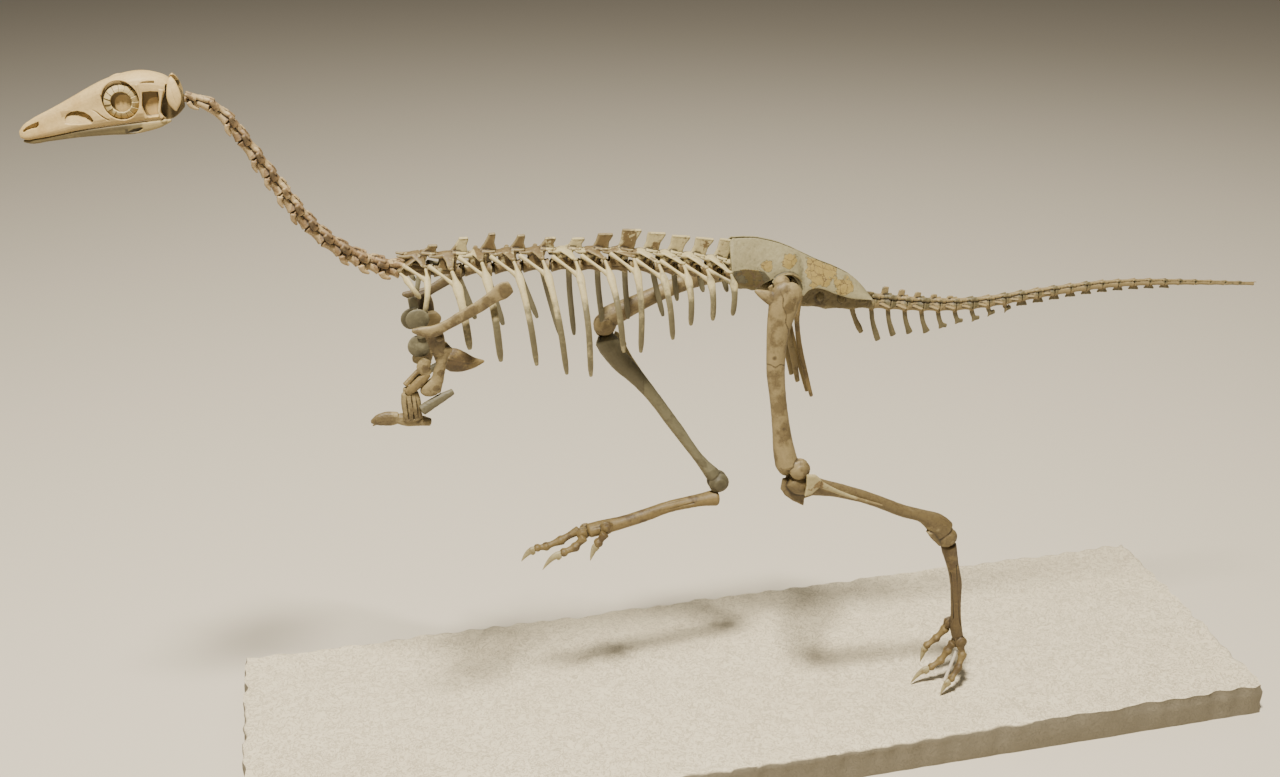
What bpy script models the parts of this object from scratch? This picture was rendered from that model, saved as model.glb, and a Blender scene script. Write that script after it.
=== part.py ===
"""Mounted skeleton of a small one-clawed running dinosaur (Mononykus), life size, on a plaster slab.

Frame: +X runs from the head to the tail, +Z is up, and the animal's left side faces -Y. Z is 0 under
the slab. Lengths below are in millimetres; the bones are placed in a frame that hangs from one empty,
whose Y is 0 on the animal's own mid-plane.
"""
import math
import random

import bmesh
import bpy
from mathutils import Matrix, Vector

MM = 0.001
GAP = 0.3                  # air between neighbouring pieces
SIDES = {"left": -1, "right": 1}

# Slab and mount
SLAB_LENGTH, SLAB_DEPTH, SLAB_HEIGHT = 862.0, 250.0, 28.0
SLAB_CENTRE_X = 39.0
MID_Y = -31.0              # the animal stands nearer the slab's front edge
ROD_RADIUS = 1.3

# Head
SKULL_LENGTH = 102.0
SKULL_TIP = (-470.0, 527.8)            # x and z of the snout's lower front corner
SKULL_PITCH = math.radians(6.1)        # the jaw line climbs backward
ORBIT_X, ORBIT_Z, ORBIT_RADIUS = 64.6, 16.9, 11.3
RING_OUTER, RING_INNER, RING_THICK = 9.7, 6.3, 1.2

# Axial column: x and z of the middle of the vertebral bodies
NECK_LINE = ((-368, 548), (-354, 542), (-344, 531), (-337, 518), (-329, 505), (-317, 484),
             (-304, 463), (-291, 448), (-274, 435), (-258, 427), (-242, 422.5))
BACK_LINE = ((-242, 422.5), (-194, 416.5), (-150, 413.5), (-105, 410), (-60, 405), (-15, 399.5), (4, 396))
SACRUM_LINE = ((4, 396), (25, 391), (44, 382), (62, 376), (85, 372.5), (110, 370))
BACK_TAPER = 0.16          # the front back bones are a little longer than the rear ones
TAIL_LINE = ((110, 370), (153, 363.5), (185, 361), (211, 361.5), (240, 364), (268, 366), (300, 367.5),
             (335, 367), (370, 364.5), (408, 361), (443, 357.5))
NECK_COUNT, BACK_COUNT, SACRUM_COUNT, TAIL_COUNT = 13, 13, 6, 24

# Limb joints, (x, distance from the mid-plane, z)
HIP = (31.0, 22.0, 394.0)
LEFT_LEG = {"knee": (35.0, 38.0, 253.0), "shin": (35.0, 38.0, 253.0), "ankle": (180.0, 28.0, 170.5),
            "heel": (180.0, 28.0, 170.5), "toes": (197.5, 22.5, 67.0)}
RIGHT_LEG = {"knee": (-93.0, 46.0, 355.0), "shin": (-88.0, 46.0, 347.0), "ankle": (5.5, 39.0, 205.5),
             "heel": (8.5, 38.0, 197.0), "toes": (-110.0, 36.0, 180.5)}

PARTS = bpy.data.collections.new("mounted_dinosaur_skeleton")
CUTTERS = bpy.data.collections.new("cutters")


def clear_scene():
    for obj in list(bpy.data.objects):
        bpy.data.objects.remove(obj, do_unlink=True)
    for collection in (PARTS, CUTTERS):
        bpy.context.scene.collection.children.link(collection)


def srgb(code):
    """Linear colour from a hex code."""
    channels = (int(code[i:i + 2], 16) / 255 for i in (1, 3, 5))
    return (*(c / 12.92 if c <= 0.04045 else ((c + 0.055) / 1.055) ** 2.4 for c in channels), 1)


def material(name, colour, roughness):
    mat = bpy.data.materials.new(name)
    mat.use_nodes = True
    shader = mat.node_tree.nodes["Principled BSDF"]
    shader.inputs["Base Color"].default_value = srgb(colour)
    shader.inputs["Roughness"].default_value = roughness
    shader.inputs["Metallic"].default_value = 0
    mat.diffuse_color = srgb(colour)
    return mat


RESTORED = material("restored_bone", "#D2C3A2", 0.62)
BONE = material("cast_bone", "#A88660", 0.6)
DARK_BONE = material("dark_cast_bone", "#8C6E4A", 0.6)
CLAW = material("claw_bone", "#C2AC88", 0.55)
PLASTER = material("rough_plaster", "#D6CFC3", 0.9)
PIN = material("painted_pin", "#D8D0C0", 0.5)


# ---------------------------------------------------------------- building blocks
def skin(rings):
    """A closed body over rings of equal size; a ring of one point closes an end."""
    bm = bmesh.new()
    rings = [[bm.verts.new(point) for point in ring] for ring in rings]
    sides = max(len(ring) for ring in rings)
    for ring, after in zip(rings, rings[1:]):
        for k in range(sides):
            corners = [ring[k % len(ring)], ring[(k + 1) % len(ring)],
                       after[(k + 1) % len(after)], after[k % len(after)]]
            bm.faces.new(list(dict.fromkeys(corners)))
    for ring in (rings[0], rings[-1]):
        if len(ring) > 1:
            bm.faces.new(ring)
    bmesh.ops.recalc_face_normals(bm, faces=bm.faces)
    return bm


def loft(stations, sides=6, across=(0, 1, 0)):
    """A closed shaft of elliptic rings. A station is (x, y, z, half depth, half width); the width
    lies along `across`, and a depth of 0 closes the end in a point."""
    across = Vector(across)
    points = [Vector(s[:3]) for s in stations]
    reach = 1 / math.cos(math.pi / sides)
    turns = [2 * math.pi * (k + 0.5) / sides for k in range(sides)]
    rings = []
    for i, (*_, deep, wide) in enumerate(stations):
        tangent = (points[min(i + 1, len(points) - 1)] - points[max(i - 1, 0)]).normalized()
        side = (across - tangent * across.dot(tangent)).normalized()
        front = tangent.cross(side)
        rings.append([points[i] + front * (deep * reach * math.cos(a)) + side * (wide * reach * math.sin(a))
                      for a in turns] if deep else [points[i]])
    return skin(rings)


def prism(outline, y_low, y_high):
    """An outline of (x, z) points, stretched along Y."""
    return skin([[(x, y, z) for x, z in outline] for y in (y_low, y_high)])


def pulley(centre, radius, half_width, groove=0.82):
    """A joint surface that turns about the Y axis, with a shallow groove round its middle."""
    x, y, z = centre
    rows = ((-1, 0.72), (-0.5, 1), (0, groove), (0.5, 1), (1, 0.72))
    return loft([(x, y + half_width * k, z, radius * size, radius * size) for k, size in rows], 6,
                across=(1, 0, 0))


def knuckle(centre, radius, half_width):
    """A plain round joint end that turns about the Y axis."""
    x, y, z = centre
    return loft([(x, y - half_width, z, radius, radius), (x, y + half_width, z, radius, radius)], 6,
                across=(1, 0, 0))


def disc(centre, radius, y_low, y_high, sides=16):
    """A round plug along Y."""
    bm = bmesh.new()
    bmesh.ops.create_cone(bm, cap_ends=True, segments=sides, radius1=radius, radius2=radius, depth=y_high - y_low)
    place = Matrix.Translation((centre[0], (y_low + y_high) / 2, centre[1])) @ Matrix.Rotation(-math.pi / 2, 4, "X")
    bmesh.ops.transform(bm, matrix=place, verts=bm.verts)
    return bm


def mirrored(bm):
    """A copy on the other side of the mid-plane."""
    twin = bm.copy()
    bmesh.ops.scale(twin, vec=(1, -1, 1), verts=twin.verts)
    bmesh.ops.reverse_faces(twin, faces=twin.faces)
    return twin


def both(pieces):
    return pieces + [mirrored(piece) for piece in pieces]


def solid(name, bms, collection):
    """One object, in metres, from any number of bmeshes."""
    mesh = bpy.data.meshes.new(name)
    whole = bmesh.new()
    for bm in bms:
        piece = bpy.data.meshes.new("piece")
        bm.to_mesh(piece)
        bm.free()
        whole.from_mesh(piece)
        bpy.data.meshes.remove(piece)
    bmesh.ops.scale(whole, vec=(MM, MM, MM), verts=whole.verts)
    whole.to_mesh(mesh)
    whole.free()
    obj = bpy.data.objects.new(name, mesh)
    collection.objects.link(obj)
    return obj


def boolean(obj, operation, other):
    mod = obj.modifiers.new(operation.lower(), "BOOLEAN")
    mod.operation = operation
    mod.solver = "EXACT"
    mod.object = other


def bake(obj):
    """Replace an object's mesh by the shape its modifiers give, and drop the modifiers."""
    evaluated = obj.evaluated_get(bpy.context.evaluated_depsgraph_get())
    mesh = bpy.data.meshes.new_from_object(evaluated)
    obj.modifiers.clear()
    obj.data = mesh


def bone(name, bms, mat, cuts=(), trims=(), mirror=False, smooth=35, keep=1.0):
    """One bone: cuts are taken from its first piece, the rest is fused on, and trims are taken last.
    keep is the share of its faces that stays when the short edges along the seams are collapsed."""
    obj = solid(name, bms[:1], PARTS)
    guides = []
    for operation, others in (("DIFFERENCE", cuts), ("UNION", bms[1:]), ("DIFFERENCE", trims)):
        for other in others:
            guides.append(solid(f"{name}_guide", [other], CUTTERS))
            boolean(obj, operation, guides[-1])
    if keep < 1:
        mod = obj.modifiers.new("collapse", "DECIMATE")
        mod.ratio = keep
    bake(obj)
    for guide in guides:
        bpy.data.objects.remove(guide, do_unlink=True)
    bm = bmesh.new()
    bm.from_mesh(obj.data)
    bmesh.ops.remove_doubles(bm, verts=bm.verts, dist=0.000004)
    bmesh.ops.dissolve_degenerate(bm, edges=bm.edges, dist=0.000004)
    if mirror:
        bmesh.ops.scale(bm, vec=(1, -1, 1), verts=bm.verts)
        bmesh.ops.reverse_faces(bm, faces=bm.faces)
    bm.to_mesh(obj.data)
    bm.free()
    obj.data.materials.clear()
    obj.data.materials.append(mat)
    obj.data.shade_smooth()
    obj.data.set_sharp_from_angle(angle=math.radians(smooth))
    obj.parent = SKELETON
    return obj


def smooth_line(points, count, taper=0.0):
    """count + 1 joints along a smooth curve through (x, z) points; taper makes the first steps longer."""
    knots = [Vector((x, 0, z)) for x, z in points]
    knots = [2 * knots[0] - knots[1]] + knots + [2 * knots[-1] - knots[-2]]
    fine = []
    for a, b, c, d in zip(knots, knots[1:], knots[2:], knots[3:]):
        for k in range(20):
            t = k / 20
            fine.append(0.5 * (2 * b + (c - a) * t + (2 * a - 5 * b + 4 * c - d) * t * t
                               + (3 * b - a - 3 * c + d) * t ** 3))
    fine.append(knots[-2])
    reach = [0.0]
    for p, q in zip(fine, fine[1:]):
        reach.append(reach[-1] + (q - p).length)
    line = []
    for k in range(count + 1):
        share = k / count
        want = reach[-1] * (share + taper * share * (1 - share))
        i = next((n for n in range(1, len(reach)) if reach[n] >= want - 1e-9), len(reach) - 1)
        line.append(fine[i - 1].lerp(fine[i], (want - reach[i - 1]) / (reach[i] - reach[i - 1])))
    return line


def at(origin, axis, along, up, y=0.0):
    """A point `along` an axis in the XZ plane from the origin and `up` at right angles to it."""
    rise = Vector((-axis.z, 0, axis.x))
    return origin + axis * along + rise * up + Vector((0, y, 0))


def handover(line, following):
    """The column's direction where one run of joints hands over to the next."""
    return ((line[-1] - line[-2]).normalized() + (following[1] - following[0]).normalized()).normalized()


def column(joints, rows_at, shares=(0.5,), half=False, ends=(None, None)):
    """A row of vertebrae as one body. rows_at(i, share) gives the (height, half width) rows, belly to
    back, at joint i (share 0) and at each share of vertebra i. The ends stop half a gap short, and lie
    square to the directions in `ends` where those are given."""
    stations = [(joints[0], 0, 0)]
    for i, (a, b) in enumerate(zip(joints, joints[1:])):
        stations += [(a.lerp(b, share), i, share) for share in shares]
        stations.append((b, i + 1, 0))
    rings = []
    last = len(stations) - 1
    for k, (point, i, share) in enumerate(stations):
        axis = (stations[min(k + 1, last)][0] - stations[max(k - 1, 0)][0]).normalized()
        if k in (0, last):
            axis = ends[0 if k == 0 else 1] or axis
            point = point + axis * (GAP / 2 if k == 0 else -GAP / 2)
        rows = rows_at(i, share)
        ring = [at(point, axis, 0, up, wide) for up, wide in rows]
        if half:
            ring = [at(point, axis, 0, rows[0][0] - 2, GAP / 2)] + ring + [at(point, axis, 0, rows[-1][0], GAP / 2)]
        else:
            ring += [at(point, axis, 0, up, -wide) for up, wide in reversed(rows)]
        rings.append(ring)
    return skin(rings)


# ---------------------------------------------------------------- slab and pin
def stand():
    """A flat-bottomed slab with broken edges, and the pin that carries the standing foot."""
    rng = random.Random(7)
    left, right = SLAB_CENTRE_X - SLAB_LENGTH / 2, SLAB_CENTRE_X + SLAB_LENGTH / 2
    front, back = -SLAB_DEPTH / 2, SLAB_DEPTH / 2
    slant = 15.0                                   # the right end is broken off at a slant
    corners = [(left, front), (right - slant, front), (right, back), (left, back)]
    outline = []
    for (ax, ay), (bx, by) in zip(corners, corners[1:] + corners[:1]):
        steps = max(4, round(math.hypot(bx - ax, by - ay) / 48))
        outline += [(ax + (bx - ax) * k / steps, ay + (by - ay) * k / steps) for k in range(steps)]
    rings = []
    for height, inset, rough in ((0, 0.6, 0.4), (SLAB_HEIGHT - 6, 0.9, 0.8), (SLAB_HEIGHT, 3.2, 2.4)):
        ring = []
        for x, y in outline:
            pull = inset + rng.uniform(-rough, rough)
            ring.append((x - math.copysign(pull, x - SLAB_CENTRE_X) * (abs(x - SLAB_CENTRE_X) > 400),
                         y - math.copysign(pull, y) * (abs(y) > 118), height))
        rings.append(ring)
    slab = bone("stand_slab", [skin(rings)], PLASTER)
    slab.parent = None
    foot, top = Vector(PIN_FOOT), Vector(PIN_TOP)
    bone("stand_pin", [loft([(*foot, ROD_RADIUS, ROD_RADIUS), (*top, ROD_RADIUS, ROD_RADIUS)], 8)], PIN)


# ---------------------------------------------------------------- head
# x from the snout tip, underside, roof, half widths at the jaw, the cheek and the roof
SKULL_SECTIONS = (
    (0.0, 0.6, 6.4, 1.8, 1.8, 1.2), (3.0, 0.0, 8.7, 2.9, 2.7, 1.7), (13.0, 0.0, 11.9, 4.3, 3.7, 2.3),
    (28.0, 0.0, 17.7, 6.3, 5.3, 3.3), (43.0, 0.0, 23.2, 8.3, 7.1, 4.8), (51.5, 0.0, 26.1, 9.6, 8.6, 6.8),
    (62.0, 0.0, 30.4, 11.4, 10.8, 9.6), (72.0, 0.0, 32.4, 12.6, 12.0, 10.8),
    (80.0, 0.0, 31.6, 13.2, 12.4, 11.2), (88.0, 0.0, 28.8, 13.4, 12.2, 10.8),
    (91.5, 1.5, 27.2, 12.4, 11.6, 10.2), (96.0, 5.0, 25.2, 8.5, 10.0, 9.0), (100.0, 8.0, 20.5, 4.5, 6.0, 5.5))


def head_section(x, low, top, jaw, cheek, roof):
    tall = top - low
    half = [(0.8 * jaw, low), (jaw, low + 0.1 * tall), (cheek, low + 0.5 * tall), (roof, top - 0.1 * tall),
            (0.45 * roof, top)]
    return [(x, y, z) for y, z in half] + [(x, -y, z) for y, z in reversed(half)]


def arc(centre, radii, start, stop, steps):
    """(x, z) points on an elliptic arc, angles in degrees."""
    angles = [math.radians(start + (stop - start) * k / steps) for k in range(steps + 1)]
    return [(centre[0] + radii[0] * math.cos(a), centre[1] + radii[1] * math.sin(a)) for a in angles]


def set_on_head(obj):
    obj.location = (SKULL_TIP[0] * MM, 0, SKULL_TIP[1] * MM)
    obj.rotation_euler = (0, -SKULL_PITCH, 0)


def head():
    orbit = disc((ORBIT_X, ORBIT_Z), ORBIT_RADIUS, 2.0, 20, sides=16)
    nostril = prism([(3.7, 5.6), (6.4, 5.9), (12.2, 8.4), (13.4, 10.2), (10.6, 9.9), (5.4, 7.6)], 0.8, 9)
    snout_window = prism(arc((37.4, 7.2), (9.0, 6.6), 0, 180, 7), 3.2, 16)
    cheek_window = prism([(77.7, 9.0), (79.2, 4.8), (86.6, 6.8), (89.3, 13.5), (87.9, 19.3), (78.0, 20.4)], 7.5, 20)
    ear_notch = prism([(90.8, 17.3), (89.5, -2.0), (103, -2.0), (103, 17.5)], 6.0, 20)
    windows = both([orbit, nostril, snout_window, cheek_window, ear_notch])
    quadrate = loft([(91.8, 10.6, 18.9, 2.2, 1.3), (89.6, 12.1, 8.0, 1.7, 1.4), (90.1, 12.4, 0.8, 1.7, 1.7)], 4)
    ear_plate = loft([(96.2, 9.0, 27.0, 1.6, 1.2), (97.8, 10.6, 21.0, 3.8, 1.4), (99.4, 11.6, 13.0, 4.2, 1.3),
                      (97.6, 11.2, 7.6, 3.0, 1.1), (95.8, 10.6, 5.4, 1.2, 0.8)], 4)
    condyle = loft([(97.0, 0, 12.5, 3.2, 3.2), (102.0, 0, 12.0, 2.6, 2.6)], 6)
    skull = bone("skull", [skin([head_section(*row) for row in SKULL_SECTIONS])]
                 + both([quadrate, ear_plate]) + [condyle], RESTORED, cuts=windows, keep=0.92)
    set_on_head(skull)

    ramus = loft([(0.6, 0.9, -1.5, 0.6, 1.0), (8.0, 2.6, -2.3, 1.5, 1.2), (36.0, 6.2, -2.9, 2.1, 1.2),
                  (58.0, 9.8, -3.8, 3.0, 1.2), (73.0, 12.0, -4.5, 3.7, 1.4), (83.0, 12.6, -3.8, 3.0, 1.6),
                  (91.0, 12.8, -2.0, 1.5, 1.4)], 4)
    slot = prism([(61, -4.4), (63, -3.3), (70, -3.2), (71.5, -4.2), (69, -5.0)], 6, 20)
    jaw = bone("mandible", both([ramus]), RESTORED, trims=both([slot]))
    set_on_head(jaw)

    shift = 0.75                                   # the ring hangs a little low and back in the socket
    for side, sign in SIDES.items():
        y = sign * 9.6
        ring = bone(f"eye_ring_{side}", [disc((ORBIT_X + shift, ORBIT_Z - shift), RING_OUTER, y - RING_THICK / 2,
                                              y + RING_THICK / 2, sides=14)], RESTORED,
                    cuts=[disc((ORBIT_X + shift, ORBIT_Z - shift), RING_INNER, y - 5, y + 5, sides=14)])
        set_on_head(ring)


# ---------------------------------------------------------------- neck, back and tail
def neck():
    joints = smooth_line(NECK_LINE, NECK_COUNT)
    ahead = handover(joints, smooth_line(BACK_LINE, BACK_COUNT, BACK_TAPER))
    middle = NECK_COUNT // 2
    for name, first, last in (("neck_upper", 0, middle), ("neck_lower", middle, NECK_COUNT)):
        def rows(i, share, first=first):
            size = 2.7 + 0.07 * (first + i)
            profile = (((-0.75, 0.45), (0, 0.72), (1.1, 0.75), (1.5, 0.35)) if share else
                       ((-1.0, 0.55), (0, 1.0), (1.1, 1.4), (1.75, 0.5)))
            return [(size * up, size * wide) for up, wide in profile]
        pieces = [column(joints[first:last + 1], rows, ends=(None, ahead if last == NECK_COUNT else None))]
        for i in range(first, last):
            a, b = joints[i], joints[i + 1]
            axis = (b - a).normalized()
            size = 2.7 + 0.07 * i
            root = at(a, axis, 2.8, -size * 0.6, size * 0.7)
            tip = at(a, axis, (b - a).length * 0.8, -size * 1.45, size * 0.9)
            pieces += both([loft([(*root, 1.3, 1.1), (*tip, 0, 0)], 3)])
        bone(name, pieces, BONE, keep=0.85)


# How high each spine stands over the middle of the column
BACK_SPINES = (15, 15, 22, 27, 28, 27, 28, 31, 33, 32, 30, 30, 30)
# Where each rib ends: x, distance from the mid-plane, z
RIB_TIPS = ((-231, 20, 409), (-232, 27, 391.5), (-200, 33, 374), (-180, 37, 364), (-155, 39, 360),
            (-134, 40, 351.5), (-117, 40, 348), (-97, 37, 366), (-84, 33, 365), (-58, 31, 370),
            (-42, 29, 378), (-25, 25, 380), (-8, 22, 380.5))


def back_rows(i, share):
    """Half a back bone: the body below, the gap where the nerves leave, the roof and the spine."""
    if share:
        return [(-2.0, 4.0), (7.0, 3.8), (11.0, 4.2), (12.6, 1.2), (BACK_SPINES[i], 1.0)]
    return [(-3.2, 5.0), (6.5, 1.5), (11.0, 3.0), (12.0, 1.2), (13.0, 1.0)]


def ribcage():
    """Half of every back bone with the ribs that grow from it; the other half is its mirror image."""
    joints = smooth_line(BACK_LINE, BACK_COUNT, BACK_TAPER)
    front = handover(smooth_line(NECK_LINE, NECK_COUNT), joints)
    rear = handover(joints, smooth_line(SACRUM_LINE, SACRUM_COUNT))
    pieces = [column(joints, back_rows, shares=(0.18, 0.82), half=True, ends=(front, rear))]
    for i, (a, b) in enumerate(zip(joints, joints[1:])):
        axis = (b - a).normalized()
        root = at(a, axis, (b - a).length * 0.36, 9.6, 2.4)
        elbow = at(a, axis, (b - a).length * 0.14, 12.0, 15.0)
        tip = Vector(RIB_TIPS[i])
        drop = tip.z - elbow.z
        fat = 2.5 if 2 < i < 10 else 1.9
        middle = Vector((elbow.x + 0.45 * (tip.x - elbow.x), 1.03 * tip.y, elbow.z + 0.42 * drop))
        pieces.append(loft([(*root, 1.3, 5.0), (*elbow, 1.5, 3.0), (*middle, 1.5, fat), (*tip, 0.9, 1.3)], 4,
                           across=(1, 0, 0)))
        arm_root = at(a, axis, -14.0 if i else 1.8, 4.3, 3.2)
        arm_end = elbow.lerp(middle, 0.4) + Vector((0, -0.6, 0))
        pieces.append(loft([(*arm_root, 1.1, 1.0), (*arm_end, 1.3, 0.9)], 3))
    right = bone("ribcage_right", pieces, RESTORED, keep=0.8)
    bm = bmesh.new()
    bm.from_mesh(right.data)
    bm = mirrored(bm)
    left = bpy.data.objects.new("ribcage_left", right.data.copy())
    bm.to_mesh(left.data)
    bm.free()
    PARTS.objects.link(left)
    left.parent = SKELETON


# ---------------------------------------------------------------- hips
def sacrum():
    joints = smooth_line(SACRUM_LINE, SACRUM_COUNT)
    front = handover(smooth_line(BACK_LINE, BACK_COUNT, BACK_TAPER), joints)
    rear = handover(joints, smooth_line(TAIL_LINE, TAIL_COUNT))

    def rows(i, share):
        size = 5.2 - 0.2 * i
        crest = 26 - 2.3 * i
        belly = 0.78 if share else 1
        return [(-size * belly, 2.2), (0, size * belly), (6, 3.0), (crest, 1.2)]
    pieces = [column(joints, rows, ends=(front, rear))]
    for a, b in list(zip(joints, joints[1:]))[::2]:
        axis = (b - a).normalized()
        root, tip = (at(a, axis, (b - a).length * 0.5, 3, side) for side in (-8.6, 8.6))
        pieces.append(loft([(*root, 2.0, 5.0), (*tip, 2.0, 5.0)], 4, across=(1, 0, 0)))
    bone("sacrum", pieces, DARK_BONE)


# Front to back along the hip blade: x, middle height, half height, distance from the mid-plane
ILIUM_ROWS = ((-3.5, 421.0, 9.0, 11.0), (4.0, 422.5, 11.5, 11.0), (20.0, 418.5, 13.0, 11.4),
              (36.0, 412.5, 12.8, 12.0), (50.0, 405.0, 14.0, 12.4), (66.0, 402.0, 10.8, 12.0),
              (84.0, 392.5, 9.5, 11.6), (97.0, 386.5, 5.6, 11.2), (105.0, 381.5, 1.6, 11.0))


def hips():
    socket = (HIP[0] + 1.5, HIP[2] + 0.5)
    for side, sign in SIDES.items():
        blade = loft([(x, -y, z, tall, 1.7) for x, z, tall, y in ILIUM_ROWS], 6)
        brim = loft([(socket[0] - 10, -13.0, socket[1] + 9, 1.6, 3.2), (socket[0], -13.6, socket[1] + 13, 1.8, 3.8),
                     (socket[0] + 11, -13.0, socket[1] + 8, 1.8, 3.2)], 4)
        bone(f"ilium_{side}", [blade, brim], RESTORED, mirror=sign > 0,
             trims=[disc(socket, 10.6, -30, 0, sides=10)])
        pubis = loft([(25.5, -11.0, 394.5, 3.6, 1.8), (33.0, -10.5, 374.0, 2.8, 2.0), (39.2, -9.5, 357.0, 2.6, 2.0),
                      (46.0, -8.0, 334.0, 2.9, 1.8), (50.5, -7.0, 314.0, 2.4, 1.5)], 6)
        bone(f"pubis_{side}", [pubis], BONE, mirror=sign > 0)
        ischium = loft([(46.5, -11.8, 388.0, 4.2, 1.8), (46.0, -11.2, 368.0, 2.6, 1.9), (50.0, -8.0, 345.0, 2.6, 1.8),
                        (57.0, -6.0, 320.0, 2.3, 1.6), (63.0, -5.0, 299.5, 1.9, 1.4)], 6)
        bone(f"ischium_{side}", [ischium], DARK_BONE, mirror=sign > 0)


def tail_size(i):
    return 4.1 - 3.1 * i / TAIL_COUNT


def tail():
    joints = smooth_line(TAIL_LINE, TAIL_COUNT)
    front = handover(smooth_line(SACRUM_LINE, SACRUM_COUNT), joints)
    lengths = {"tail_front": (0, 8), "tail_middle": (8, 16), "tail_tip": (16, TAIL_COUNT)}
    for name, (first, last) in lengths.items():
        def rows(i, share, first=first):
            size = tail_size(first + i)
            profile = ((-0.78, 0.4), (0.1, 0.78), (1.25, 0.4)) if share else ((-1, 0.5), (0.1, 1), (1.55, 0.45))
            return [(size * up, size * wide) for up, wide in profile]
        pieces = [column(joints[first:last + 1], rows, ends=(None if first else front, None))]
        for i in range(first, last):
            pieces += tail_processes(i, joints[i], joints[i + 1])
        bone(name, pieces, BONE, keep=0.8)


def tail_processes(i, a, b):
    """The spine, side wings and chevron of one tail bone."""
    axis = (b - a).normalized()
    length, size = (b - a).length, tail_size(i)
    pieces = []
    if i < 5:
        pieces.append(loft([(*at(a, axis, length * 0.5, size), 2.2, 0.9),
                            (*at(a, axis, length * 0.58, size + 9.5 - i), 1.6, 0.7)], 4))
    if i < 10:
        tip = at(a, axis, length * 0.66, 0.6, size + 9 - 0.8 * i)
        pieces += both([loft([(*at(a, axis, length * 0.5, 0.6, size * 0.4), 1.1, 2.8), (*tip, 0, 0)], 3,
                             across=(1, 0, 0))])
    hang = 25 * math.exp(-0.175 * i)
    if 0 < i < 8:
        pieces.append(loft([(*at(a, axis, 1.6, -size * 0.5), 1.6, 1.8),
                            (*at(a, axis, 2.0 + 0.12 * hang, -size - 0.45 * hang), 1.7, 0.9),
                            (*at(a, axis, 3.0 + 0.28 * hang, -size - hang), 1.8 + 0.45 * i, 0.8)], 3))
    elif 8 <= i < 19:
        keel = 0.5 + 0.45 * hang
        pieces.append(loft([(*at(a, axis, 3.0, -size * 0.5), 1.6, 0.8),
                            (*at(a, axis, 3.0, -size - keel), 4.2, 0.7)], 4))
    return pieces


# ---------------------------------------------------------------- shoulders and arms
def shoulders():
    for side, sign in SIDES.items():
        blade = loft([(-237.5, -36.0, 391.0, 2.2, 1.6), (-231.0, -36.5, 389.6, 5.2, 2.0),
                      (-221.5, -37.0, 388.6, 5.2, 2.4), (-212.0, -39.0, 396.5, 2.9, 1.6),
                      (-193.0, -42.0, 404.5, 2.8, 1.3), (-180.0, -42.5, 412.5, 4.2, 1.1),
                      (-169.0, -41.0, 418.5, 5.4, 1.0)], 6)
        bone(f"scapula_{side}", [blade], BONE, mirror=sign > 0)
        plate = loft([(-231.5, -33.0, 383.0, 3.6, 1.3), (-233.5, -30.0, 379.5, 7.4, 1.3),
                      (-235.0, -25.5, 374.5, 8.2, 1.2), (-236.0, -21.0, 369.5, 5.6, 1.0)], 6)
        bone(f"coracoid_{side}", [plate], RESTORED, mirror=sign > 0)
    keel = loft([(-216.0, 0, 354.5, 4.5, 5.5), (-211.0, 0, 354.0, 8.0, 5.5), (-203.0, 0, 351.5, 8.2, 4.0),
                 (-196.0, 0, 350.0, 5.2, 2.6), (-187.0, 0, 350.3, 0.9, 0.8)], 6)
    bone("sternum", [keel], DARK_BONE)


ARMS = {
    # ulna, radius, palm, thumb and claw as (x, distance from the mid-plane, z, depth, width)
    "left": {
        "ulna": ((-211.5, 30, 341.6, 1.7, 1.6), (-216, 30.5, 339.4, 2.2, 2.0), (-223, 31.5, 335.4, 2.6, 2.2),
                 (-228.6, 32.5, 331.8, 2.7, 2.6)),
        "radius": ((-228.6, 26.5, 337.2, 1.6, 1.6), (-232.4, 27.0, 333.4, 1.1, 1.2), (-235.4, 28.0, 330.4, 1.5, 1.5)),
        "palm": ((-232.2, 32, 329.2, 2.4, 3.0), (-233.6, 32, 325.6, 3.3, 3.8), (-234.6, 32, 321.6, 2.9, 3.4)),
        "thumb": ((-229.6, 31.5, 316.6, 2.0, 2.4), (-235.0, 31.5, 317.6, 3.1, 3.2), (-243.0, 31.5, 320.6, 2.8, 2.6),
                  (-249.6, 31.5, 322.6, 3.6, 3.0)),
        "claw": ((-250.4, 31.5, 322.8, 3.8, 2.4), (-257.0, 31.5, 323.8, 3.6, 2.2), (-264.0, 31.5, 322.4, 2.3, 1.6),
                 (-271.5, 31.5, 318.4, 0, 0))},
    "right": {
        "ulna": ((-213.0, 28, 342.6, 1.7, 1.6), (-218, 27.5, 339.4, 2.2, 2.0), (-229, 25.5, 334.2, 2.3, 2.1),
                 (-239.0, 22.5, 328.4, 2.6, 2.4)),
        "radius": ((-231.4, 22.5, 338.6, 1.5, 1.5), (-238.0, 20.5, 333.6, 1.1, 1.2), (-242.8, 18.5, 329.6, 1.4, 1.4)),
        "palm": ((-240.2, 19.5, 325.6, 3.6, 2.6), (-240.0, 19, 318.0, 4.8, 3.4), (-240.4, 18.5, 310.6, 4.8, 3.2)),
        "thumb": ((-239.0, 18.5, 307.2, 3.0, 2.8), (-243.6, 18.5, 304.6, 2.8, 2.8), (-248.0, 18.5, 303.6, 2.4, 2.4),
                  (-252.6, 18.5, 304.0, 2.9, 2.6)),
        "claw": ((-253.4, 18.5, 304.1, 3.2, 2.2), (-258.0, 18.5, 304.2, 2.9, 1.9), (-263.0, 18.5, 302.8, 1.9, 1.4),
                 (-268.5, 18.5, 299.6, 0, 0))},
}


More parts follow.
